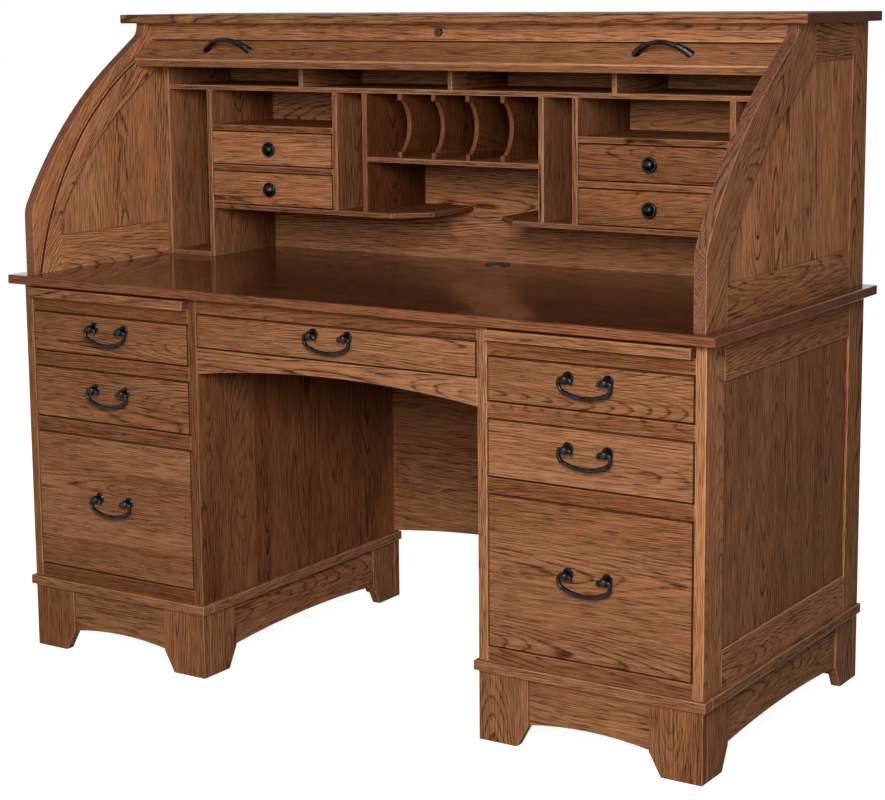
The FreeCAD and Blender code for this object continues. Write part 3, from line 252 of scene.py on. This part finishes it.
class Shader:
    """Nodes of one material, wired by short calls that take numbers or sockets."""

    def __init__(self, name):
        self.material = bpy.data.materials.new(name)
        self.material.use_nodes = True
        self.tree = self.material.node_tree
        self.surface = self.tree.nodes["Principled BSDF"].inputs

    def put(self, socket, value):
        if isinstance(value, bpy.types.NodeSocket):
            self.tree.links.new(value, socket)
        else:
            socket.default_value = value

    def node(self, kind, inputs, **settings):
        node = self.tree.nodes.new(kind)
        for key, value in settings.items():
            setattr(node, key, value)
        for key, value in inputs.items():
            self.put(node.inputs[key], value)
        return node

    def math(self, operation, a, b=0.0):
        return self.node("ShaderNodeMath", {0: a, 1: b}, operation=operation).outputs[0]

    def scaled(self, value, factor, offset=0.0):
        inputs = {0: value, 1: factor, 2: offset}
        return self.node("ShaderNodeMath", inputs, operation="MULTIPLY_ADD").outputs[0]

    def centred(self, value, spread):
        return self.scaled(value, spread, -spread / 2)

    def vector(self, x, y, z):
        return self.node("ShaderNodeCombineXYZ", {0: x, 1: y, 2: z}).outputs[0]

    def split(self, vector):
        return self.node("ShaderNodeSeparateXYZ", {0: vector}).outputs

    def attribute(self, name):
        return self.node("ShaderNodeAttribute", {}, attribute_name=name).outputs["Vector"]

    def object_place(self):
        return self.node("ShaderNodeTexCoord", {}).outputs["Object"]

    def noise(self, vector, scale=1.0, detail=2.0, roughness=0.5):
        inputs = {"Vector": vector, "Scale": scale, "Detail": detail, "Roughness": roughness}
        return self.node("ShaderNodeTexNoise", inputs).outputs[0]

    def ramp(self, factor, stops):
        node = self.node("ShaderNodeValToRGB", {0: factor})
        elements = node.color_ramp.elements
        while len(elements) < len(stops):
            elements.new(0.5)
        for element, (place, colour) in zip(elements, stops):
            element.position = place
            element.color = (*(colour if isinstance(colour, tuple) else (colour,) * 3), 1.0)
        return node.outputs[0]

    def mix(self, factor, a, b, blend="MIX"):
        node = self.node("ShaderNodeMix", {0: factor, 6: a, 7: b}, data_type="RGBA", blend_type=blend)
        return node.outputs[2]

    def bump(self, height, strength, distance):
        inputs = {"Height": height, "Strength": strength, "Distance": distance}
        self.put(self.surface["Normal"], self.node("ShaderNodeBump", inputs).outputs[0])


def oak(name, light, dark, roughness, sheen, coat):
    """Stained oak in the board's own coordinates: growth rings cut by the face, fibres and open pores."""
    s = Shader(name)
    u, v, w = s.split(s.attribute("board"))
    tone, plank, seed = s.split(s.attribute("board_look"))

    # Strips side by side, each with a heart of its own
    strip = s.math("FLOOR", s.math("ADD", s.math("DIVIDE", v, plank), 0.5))
    dice = s.node("ShaderNodeTexWhiteNoise", {"Vector": s.vector(strip, seed, 0.0)}, noise_dimensions="2D")
    dice_a, dice_b, dice_c = s.split(dice.outputs["Color"])
    in_strip = s.math("SUBTRACT", v, s.math("MULTIPLY", strip, plank))
    far = s.math("MULTIPLY", s.math("ADD", seed, s.math("MULTIPLY", strip, STRIP_STEP)), NOISE_STEP)

    def streaks(along, across, shift, detail, roughness=0.5):
        place = s.vector(s.scaled(u, along, far), s.scaled(v, across, shift), s.scaled(w, across))
        return s.noise(place, detail=detail, roughness=roughness)

    # Growth rings, by the distance from the heart
    wander = s.centred(streaks(*WANDER), WANDER_M)
    ripple = s.centred(streaks(*RIPPLE), RIPPLE_M)
    off_heart = s.math("ADD", in_strip, s.centred(dice_a, HEART_ASIDE_M))
    aside = s.math("ADD", off_heart, s.math("ADD", wander, ripple))
    slope = s.math("MULTIPLY", u, s.centred(dice_c, HEART_SLOPE))
    heart_depth = s.scaled(dice_b, DEPTH_SPREAD_M, HEART_DEPTH_M)
    depth = s.math("ADD", s.math("ADD", heart_depth, slope), s.math("ADD", w, wander))
    radius = s.math("SQRT", s.math("ADD", s.math("MULTIPLY", aside, aside), s.math("MULTIPLY", depth, depth)))
    uneven = s.scaled(streaks(*UNEVEN_RINGS), RING_UNEVENNESS)
    early = s.ramp(s.math("FRACT", s.scaled(radius, RINGS_PER_M, uneven)), RING_PROFILE)
    strength = s.ramp(streaks(*RING_STRENGTH), RING_CONTRAST)

    # Dark share: rings broken by pores, dashes, fibres and a slow flow
    pores = s.ramp(streaks(*PORES), PORE_CONTRAST)
    dashes = s.ramp(streaks(*DASHES), DASH_CONTRAST)
    fibre = streaks(*FIBRES, roughness=FIBRE_ROUGHNESS)
    rings = s.math("MULTIPLY", s.math("MULTIPLY", early, strength), s.scaled(pores, *PORES_DARKEN))
    dark_share = s.math("ADD", rings, s.scaled(dashes, *DASHES_DARKEN))
    dark_share = s.math("ADD", dark_share, s.scaled(fibre, *FIBRES_DARKEN))
    dark_share = s.math("ADD", dark_share, s.scaled(streaks(*FLOW), *FLOW_DARKENS))

    # Colour, under the board's shade: a stain with painted light and shade, which gets redder as it gets darker
    warm_light = tuple(part * share for part, share in zip(light, WARM_SHARES))
    pale = s.ramp(streaks(*WARMTH), [(WARM_FROM, warm_light), (WARM_TO, light)])
    colour = s.mix(s.node("ShaderNodeClamp", {0: dark_share}).outputs[0], pale, (*dark, 1.0))
    shade = s.math("ADD", tone, s.centred(dice.outputs["Value"], STRIP_TONE_SPREAD))
    deep = s.math("MINIMUM", shade, 1.0)
    stain_and_shade_green = s.math("MULTIPLY", shade, s.math("POWER", deep, GREEN_POWER))
    stain_and_shade_blue = s.math("MULTIPLY", shade, s.math("POWER", deep, BLUE_POWER))
    stain_and_painted_shade = s.vector(shade, stain_and_shade_green, stain_and_shade_blue)
    s.put(s.surface["Base Color"], s.mix(1.0, colour, stain_and_painted_shade, "MULTIPLY"))
    s.put(s.surface["Roughness"], s.scaled(dark_share, ROUGHNESS_RISE, roughness))
    s.put(s.surface["Specular IOR Level"], sheen)
    s.put(s.surface["Coat Weight"], coat)
    s.put(s.surface["Coat Roughness"], COAT_ROUGHNESS)
    s.put(s.surface["Coat IOR"], COAT_IOR)
    s.bump(s.math("SUBTRACT", 1.0, dark_share), strength=0.25, distance=0.0004)
    return s.material


def black_metal():
    """Blackened cast metal: a slightly uneven dark skin, worn a little brighter in patches."""
    s = Shader("black_metal_finish")
    place = s.object_place()
    patches = s.noise(place, scale=90.0, detail=3.0)
    grit = s.noise(place, scale=900.0)
    s.put(s.surface["Base Color"], s.ramp(patches, [(0.35, METAL_DARK), (0.75, METAL_LIGHT)]))
    s.put(s.surface["Metallic"], 1.0)
    s.put(s.surface["Roughness"], s.scaled(patches, factor=0.22, offset=0.17))
    s.bump(grit, strength=0.2, distance=0.0003)
    return s.material


def lock_metal():
    """Polished dark metal of the lock, slightly tarnished."""
    s = Shader("lock_finish")
    tarnish = s.noise(s.object_place(), scale=160.0, detail=3.0)
    s.put(s.surface["Base Color"], s.ramp(tarnish, [(0.35, LOCK_DARK), (0.65, LOCK_LIGHT)]))
    s.put(s.surface["Metallic"], 1.0)
    s.put(s.surface["Roughness"], s.scaled(tarnish, factor=0.2, offset=0.12))
    s.bump(tarnish, strength=0.1, distance=0.0003)
    return s.material


def black_plastic():
    """Matt moulded plastic with a fine texture."""
    s = Shader("black_plastic_finish")
    grit = s.noise(s.object_place(), scale=1400.0)
    s.put(s.surface["Base Color"], s.ramp(grit, [(0.3, PLASTIC_DARK), (0.7, PLASTIC_LIGHT)]))
    s.put(s.surface["Roughness"], s.scaled(grit, factor=0.2, offset=0.35))
    s.bump(grit, strength=0.15, distance=0.0002)
    return s.material


def canvas():
    """Plain woven backing of the curtain, in the curtain's own coordinates."""
    s = Shader("canvas_finish")
    u, v = s.split(s.attribute("board"))[:2]
    warp = s.math("SINE", s.math("MULTIPLY", u, THREADS))
    weft = s.math("SINE", s.math("MULTIPLY", v, THREADS))
    weave = s.math("MULTIPLY", warp, weft)
    slub_place = s.vector(s.math("MULTIPLY", u, SLUBS_ALONG), s.math("MULTIPLY", v, SLUBS_ACROSS), 0.0)
    slub = s.noise(slub_place, detail=3.0)
    light_share = s.scaled(weave, factor=0.2, offset=slub)
    s.put(s.surface["Base Color"], s.ramp(light_share, [(0.2, CANVAS_DARK), (0.8, CANVAS_LIGHT)]))
    s.put(s.surface["Roughness"], s.scaled(slub, factor=0.1, offset=0.82))
    s.bump(weave, strength=0.3, distance=0.0003)
    return s.material


OAK = oak("oak_finish", OAK_LIGHT, OAK_DARK, roughness=0.46, sheen=0.012, coat=0.0)
# Paler edge oak: partly wear, partly painted highlight
OAK_EDGE = oak("oak_edge_finish", EDGE_LIGHT, EDGE_DARK, roughness=0.36, sheen=0.12, coat=0.0)
END_OAK = oak("oak_end_finish", END_LIGHT, END_DARK, roughness=0.5, sheen=0.012, coat=0.0)
# Oak in painted shade, for gaps and grooves
PAINTED_SHADE_OAK = oak("oak_glaze_finish", PAINTED_SHADE_LIGHT, PAINTED_SHADE_DARK, roughness=0.5, sheen=0.012, coat=0.0)
RIM_OAK = oak("oak_rim_finish", RIM_LIGHT, RIM_DARK, roughness=0.46, sheen=0.012, coat=0.0)
DARK_OAK = oak("dark_oak_finish", TOP_LIGHT, TOP_DARK, roughness=0.34, sheen=0.04, coat=0.9)
METAL = black_metal()
LOCK_METAL = lock_metal()
PLASTIC = black_plastic()
CANVAS = canvas()


def corner_key(vertex):
    return tuple(round(value, KEY_DIGITS) for value in vertex.co)


def faces_by_patch(mesh):
    """Faces that share vertices, in the order of the mesh: one patch for each face of a solid."""
    owner = list(range(len(mesh.vertices)))

    def find(index):
        while owner[index] != index:
            owner[index] = owner[owner[index]]
            index = owner[index]
        return index

    for edge in mesh.edges:
        owner[find(edge.vertices[0])] = find(edge.vertices[1])
    patches = {}
    for face in mesh.polygons:
        patches.setdefault(find(face.vertices[0]), []).append(face)
    return list(patches.values())


def boards_of(mesh):
    """Lists of vertex numbers, one for each closed solid: patches are added until no edge is left open."""
    boards = []
    open_edges = set()
    members = set()
    for patch in faces_by_patch(mesh):
        for face in patch:
            keys = [corner_key(mesh.vertices[index]) for index in face.vertices]
            members.update(face.vertices)
            for a, b in zip(keys, keys[1:] + keys[:1]):
                open_edges ^= {(min(a, b), max(a, b))}
        if not open_edges:
            boards.append(sorted(members))
            members = set()
    if members:
        boards.append(sorted(members))
    return boards


def grain_of(name, size):
    """Directions along the grain, across the face and through the thickness of a board of this size."""
    axes = [Vector((1, 0, 0)), Vector((0, 1, 0)), Vector((0, 0, 1))]
    order = sorted(range(3), key=lambda axis: size[axis])
    thin, along = order[0], order[2]
    if name in UPRIGHT_GRAIN:
        along = 2
    if name in CROSS_GRAIN:
        along = 0
    grain = axes[along]
    if name == "case_side_frames" and thin == 0 and size[order[1]] > CURVED_STILE_W:
        grain = Vector(CURVED_STILE_GRAIN).normalized()
    through = axes[thin]
    return grain, through.cross(grain), through


def set_attribute(mesh, name, kind, values):
    """Stores one value (FLOAT) or one triple (FLOAT_VECTOR) for each vertex."""
    data = mesh.attributes.new(name, kind, "POINT").data
    if kind == "FLOAT":
        data.foreach_set("value", values)
    else:
        data.foreach_set("vector", [number for triple in values for number in triple])


def in_track(point):
    radius = math.hypot(point.y - ROLL_AXIS_Y, point.z - ROLL_AXIS_Z)
    return abs(radius - TRACK_R) < TRACK_HALF_W


def slot_of(name, face, grain, tone):
    """Material slot of a board's face: track groove in painted shade, end grain, front edge painted pale as a
    highlight, rim or plain face.
    """
    normal = face.normal
    if name == "case_side_frames" and abs(normal.x) < FACING_COS:
        # Faces in the track's groove take the fourth slot, painted shade on oak boards
        return EDGE_FACE if in_track(face.center) else END_FACE
    if name in END_GRAIN and abs(normal.dot(grain)) > END_GRAIN_COS:
        return END_FACE
    if name == "top_cap" and normal.z > FACING_COS:
        return END_FACE
    # Front edges of dim boards take the pale slot, a painted highlight
    if name in PAINTED_LIT_FRONTS and normal.y < -FACING_COS and tone < DIM_TONE:
        return PALE_FACE
    if name == "desk_top" and abs(normal.z) < FACING_COS:
        return EDGE_FACE
    return PLAIN_FACE


def dress_boards(name, node):
    """Gives each board of a node its grain coordinates and its own look, whose shade holds painted light and
    shade.
    """
    mesh = node.data
    places = [(0.0, 0.0, 0.0)] * len(mesh.vertices)
    looks = list(places)
    numbers = [0.0] * len(mesh.vertices)
    grains = {}
    plank = PLANKS.get(name, SINGLE_BOARD)
    painted_rear_shade = PAINTED_REAR_SHADE.get(name, 1.0)
    for index, members in enumerate(boards_of(mesh)):
        dice = random.Random(name + str(index))
        points = [mesh.vertices[member].co for member in members]
        low = Vector([min(point[axis] for point in points) for axis in range(3)])
        high = Vector([max(point[axis] for point in points) for axis in range(3)])
        grain, across, through = grain_of(name, high - low)
        tilt = dice.uniform(-GRAIN_TILT, GRAIN_TILT)
        turned_grain = grain + across * tilt
        turned_across = across - grain * tilt
        middle = (low + high) / 2
        shift = dice.uniform(-GRAIN_SHIFT, GRAIN_SHIFT)
        side = " left" if middle.x < 0 else " right"
        own = dice.uniform(1 - TONE_SPREAD, 1 + TONE_SPREAD)
        # The shade holds painted light and shade from the table, else the board's own random tone
        tone = PAINTED_LIGHT_AND_TONES.get(name, PAINTED_LIGHT_AND_TONES.get(name + side, PAINTED_LIGHT_AND_TONES.get(f"{name} {index}", own)))
        seed = dice.random()
        for member, point in zip(members, points):
            offset = point - middle
            along = offset.dot(turned_grain) + shift
            places[member] = (along, offset.dot(turned_across), offset.dot(through))
            # Painted shade grows from the front to the rear
            rear_share = (point.y - low.y) / (high.y - low.y)
            looks[member] = (tone * (1 + (painted_rear_shade - 1) * rear_share), plank, seed)
            numbers[member] = float(index)
            grains[member] = grain
    set_attribute(mesh, "board", "FLOAT_VECTOR", places)
    set_attribute(mesh, "board_look", "FLOAT_VECTOR", looks)
    set_attribute(mesh, "board_number", "FLOAT", numbers)
    for face in mesh.polygons:
        corner = face.vertices[0]
        face.material_index = slot_of(name, face, grains[corner], looks[corner][0])


def joined_boards():
    """Geometry nodes that join the faces of each board, and keep boards that touch apart."""
    tree = bpy.data.node_groups.new("joined_boards", "GeometryNodeTree")
    tree.interface.new_socket("Geometry", in_out="INPUT", socket_type="NodeSocketGeometry")
    tree.interface.new_socket("Geometry", in_out="OUTPUT", socket_type="NodeSocketGeometry")
    begin = tree.nodes.new("NodeGroupInput")
    end = tree.nodes.new("NodeGroupOutput")
    number = tree.nodes.new("GeometryNodeInputNamedAttribute")
    number.inputs["Name"].default_value = "board_number"
    geometry = begin.outputs[0]
    for step in (BOARD_STEP, -BOARD_STEP):
        gap = tree.nodes.new("ShaderNodeMath")
        gap.operation = "MULTIPLY"
        gap.inputs[1].default_value = step
        tree.links.new(number.outputs["Attribute"], gap.inputs[0])
        offset = tree.nodes.new("ShaderNodeCombineXYZ")
        tree.links.new(gap.outputs[0], offset.inputs[0])
        moved = tree.nodes.new("GeometryNodeSetPosition")
        tree.links.new(geometry, moved.inputs["Geometry"])
        tree.links.new(offset.outputs[0], moved.inputs["Offset"])
        geometry = moved.outputs[0]
        if step > 0:
            merged = tree.nodes.new("GeometryNodeMergeByDistance")
            merged.inputs["Distance"].default_value = JOIN_DISTANCE
            tree.links.new(geometry, merged.inputs["Geometry"])
            geometry = merged.outputs[0]
    tree.links.new(geometry, end.inputs[0])
    return tree


JOINED_BOARDS = joined_boards()


def ease_edges(node, width):
    """Joins each board's faces and rounds its arrises, which take the second material: paler oak, partly wear and
    partly painted highlight, or painted shade on drawers.
    """
    join = node.modifiers.new("join", "NODES")
    join.node_group = JOINED_BOARDS
    ease = node.modifiers.new("arris", "BEVEL")
    ease.width = width
    ease.segments = ARRIS_SEGMENTS
    ease.limit_method = "ANGLE"
    ease.angle_limit = math.radians(SHARP_ANGLE)
    # The arris takes the pale slot: partly wear, partly painted highlight
    ease.material = PALE_FACE
    ease.use_clamp_overlap = node.name not in UNCLAMPED_ARRIS
    # Sliding would fold the triangles beside an arris
    ease.loop_slide = False


def set_materials(node, *materials):
    """Replaces the materials, which also sets all faces back to the first one."""
    node.data.materials.clear()
    for material in materials:
        node.data.materials.append(material)


def dress_nodes():
    """Materials of each CAD node by its slot in the record, and grain and eased arrises where it is oak."""
    slots = {row["node"]: row["material_slot"] for row in frame["record"]["subparts"]}
    plain = {"black_metal": METAL, "black_plastic": PLASTIC, "canvas": CANVAS}
    for name, node in frame["nodes"].items():
        slot = slots[name]
        if name in ("roll_lock", "lock_plug"):
            set_materials(node, LOCK_METAL)
        elif slot in plain:
            set_materials(node, plain[slot])
        elif slot == "dark_oak":
            # Its arrises take the paler edge oak: partly wear, partly a painted highlight along the rim
            set_materials(node, DARK_OAK, OAK_EDGE, END_OAK, RIM_OAK)
            dress_boards(name, node)
            ease_edges(node, ARRIS)
        else:
            # Drawer arrises take painted shade along their gaps, other arrises the paler edge oak; the fourth slot
            # paints shade into the tracks' grooves
            arris = PAINTED_SHADE_OAK if name.endswith("_drawer") else OAK_EDGE
            set_materials(node, OAK, arris, END_OAK, PAINTED_SHADE_OAK)
            dress_boards(name, node)
            if name != "top_cap":
                ease_edges(node, WIDE_ARRIS.get(name, ARRIS))


def on_track(angle, rise):
    """Point in the desk's middle plane, at an angle up from the front and a height over the track's line."""
    radius = TRACK_R + rise
    return Vector((0.0, ROLL_AXIS_Y - radius * math.cos(angle), ROLL_AXIS_Z + radius * math.sin(angle)))


def blend_ends():
    """Points between which the blend goes over from the desk to the roll top."""
    return on_track(STORED_HIGH, 0.0), on_track(STORED_LOW, 0.0)


def drawn_angle(angle, rise):
    """Angle to which the blend's smooth step draws a stored point when the roll top closes."""
    start, end = blend_ends()
    run = end - start
    share = min(max((on_track(angle, rise) - start).dot(run) / run.length_squared, 0.0), 1.0)
    return angle - ROLL_SWING * share * share * (3.0 - 2.0 * share)


def stored_angle(closed, rise):
    """Stored angle of a point from its angle on the closed curtain: drawn_angle undone by halving."""
    low, high = STORED_LOW, STORED_HIGH
    for _ in range(HALVINGS):
        middle = (low + high) / 2
        if drawn_angle(middle, rise) < closed:
            low = middle
        else:
            high = middle
    return (low + high) / 2


def curtain_faces(row_count):
    """Faces from end to end round the section, and then both ends, between the slats and the canvas."""
    count = 2 * row_count
    faces = []
    for index in range(count):
        follow = (index + 1) % count
        faces.append((index, follow, count + follow, count + index))
    for index in range(row_count - 1):
        opposite = count - 1 - index
        faces.append((index + 1, index, opposite, opposite - 1))
        faces.append((count + index, count + index + 1, count + opposite - 1, count + opposite))
    return faces


def tambour_curtain():
    """Slats on canvas: stored, they lie drawn together behind the fascia, and the blend draws them out."""
    rows = [(slat + share, rise, slat) for slat in range(SLAT_COUNT) for share, rise in SLAT_PROFILE]
    back = [(place, CANVAS_BACK, slat) for place, _, slat in reversed(rows)]
    ring = rows + back
    points = []
    board = []
    looks = []
    for x in (-SLAT_HALF_LENGTH, SLAT_HALF_LENGTH):
        for place, rise, slat in ring:
            point = on_track(stored_angle(CLOSED_LOW + SLAT_ANGLE * place, rise), rise)
            points.append((x, point.y, point.z))
            dice = random.Random("slat" + str(slat))
            along = (x + dice.uniform(-GRAIN_SHIFT, GRAIN_SHIFT)) * SLAT_GRAIN
            board.append((along, (place - slat - 0.5) * SLAT_PITCH, rise))
            tone = dice.uniform(1 - SLAT_TONE_SPREAD, 1 + SLAT_TONE_SPREAD)
            looks.append((tone, SINGLE_BOARD, dice.random()))
    mesh = bpy.data.meshes.new("tambour_curtain")
    mesh.from_pydata(points, [], curtain_faces(len(rows)))
    set_attribute(mesh, "board", "FLOAT_VECTOR", board)
    set_attribute(mesh, "board_look", "FLOAT_VECTOR", looks)
    piece = bpy.data.objects.new("tambour_curtain", mesh)
    bpy.context.scene.collection.objects.link(piece)
    set_materials(piece, OAK, CANVAS, PAINTED_SHADE_OAK)
    for index, face in enumerate(mesh.polygons):
        # Faces in the grooves between slats take painted shade
        if index < len(rows) - 1 and min(rows[index][1], rows[index + 1][1]) < GROOVE_RISE:
            face.material_index = GROOVE_FACE
        elif len(rows) - 1 < index < len(ring):
            face.material_index = BACK_FACE
        else:
            face.material_index = SLAT_FACE
    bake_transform(piece)
    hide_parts("tambour_slats", "tambour_canvas")


def floor_material():
    """Pale floor: white to the camera and in reflections, grey as a bounce, and it keeps the shadow."""
    s = Shader("studio_floor")
    grain = s.noise(s.object_place(), scale=3.0)
    s.put(s.surface["Base Color"], s.ramp(grain, [(0.0, FLOOR_DARK), (1.0, FLOOR_LIGHT)]))
    s.put(s.surface["Roughness"], FLOOR_ROUGHNESS)
    s.put(s.surface["Specular IOR Level"], FLOOR_SHEEN)
    paths = s.node("ShaderNodeLightPath", {}).outputs
    mirrored = s.math("MAXIMUM", paths["Is Glossy Ray"], paths["Is Transmission Ray"])
    seen = s.math("MAXIMUM", paths["Is Camera Ray"], mirrored)
    s.put(s.surface["Emission Color"], WHITE)
    s.put(s.surface["Emission Strength"], s.math("MULTIPLY", seen, FLOOR_SEEN))
    return s.material


def add_floor():
    half = FLOOR_HALF
    corners = [(-half, -half, 0), (half, -half, 0), (half, half, 0), (-half, half, 0)]
    mesh = bpy.data.meshes.new("studio_floor")
    mesh.from_pydata(corners, [], [(0, 1, 2, 3)])
    floor = bpy.data.objects.new("studio_floor", mesh)
    bpy.context.scene.collection.objects.link(floor)
    floor.data.materials.append(floor_material())


def add_world():
    """A little even light, and white where the camera or a reflection looks past the floor."""
    world = bpy.data.worlds.new("studio_world")
    world.use_nodes = True
    tree = world.node_tree
    background = tree.nodes["Background"]
    paths = tree.nodes.new("ShaderNodeLightPath").outputs
    seen = paths["Is Camera Ray"]
    for ray in ("Is Transmission Ray", "Is Glossy Ray"):
        either = tree.nodes.new("ShaderNodeMath")
        either.operation = "MAXIMUM"
        tree.links.new(seen, either.inputs[0])
        tree.links.new(paths[ray], either.inputs[1])
        seen = either.outputs[0]
    strength = tree.nodes.new("ShaderNodeMix")
    strength.inputs[2].default_value = WORLD_LIGHT
    strength.inputs[3].default_value = WORLD_SEEN
    tree.links.new(seen, strength.inputs[0])
    tree.links.new(strength.outputs[0], background.inputs["Strength"])
    background.inputs["Color"].default_value = WHITE
    bpy.context.scene.world = world


def add_softbox(name, at, aim, size, power):
    lamp = bpy.data.lights.new(name, "AREA")
    lamp.shape = "RECTANGLE"
    lamp.size, lamp.size_y = size
    lamp.energy = power
    box = bpy.data.objects.new(name, lamp)
    bpy.context.scene.collection.objects.link(box)
    box.location = at
    box.rotation_euler = (Vector(aim) - Vector(at)).to_track_quat("-Z", "Y").to_euler()


def add_camera():
    """Camera at the photograph's viewing angle, with its optical axis a little above the frame's middle."""
    azimuth = math.radians(CAMERA_AZIMUTH)
    down = math.radians(CAMERA_DOWN)
    roll = math.radians(CAMERA_ROLL)
    level = Vector((-math.sin(azimuth), math.cos(azimuth), 0.0))
    forward = level * math.cos(down) - Vector((0.0, 0.0, math.sin(down)))
    right = Vector((math.cos(azimuth), math.sin(azimuth), 0.0))
    up = right.cross(forward)
    turned_right = right * math.cos(roll) + up * math.sin(roll)
    turned_up = up * math.cos(roll) - right * math.sin(roll)
    data = bpy.data.cameras.new("photo_camera")
    data.sensor_width = SENSOR_W
    data.lens = FOCAL_PX / IMAGE_W * SENSOR_W
    data.shift_y = (AXIS_ROW_PX - IMAGE_H / 2) / IMAGE_W
    camera = bpy.data.objects.new("photo_camera", data)
    bpy.context.scene.collection.objects.link(camera)
    frame_axes = Matrix((turned_right, turned_up, -forward)).transposed().to_4x4()
    camera.matrix_world = Matrix.Translation(CAMERA_AT) @ frame_axes
    bpy.context.scene.camera = camera


dress_nodes()
tambour_curtain()
add_floor()
add_world()
add_softbox("key_light", at=(1.50, -2.80, 1.80), aim=(-0.25, 0.0, 0.95), size=(1.1, 1.1), power=101.0)
add_softbox("front_fill", at=(-0.6, -4.2, 1.0), aim=(0.0, 0.0, 0.8), size=(2.6, 1.8), power=9.0)
add_softbox("rear_fill", at=(-2.5, 3.6, 2.2), aim=(0.0, 0.0, 0.7), size=(3.0, 2.5), power=70.0)
add_camera()
bpy.context.scene.view_settings.view_transform = "Standard"
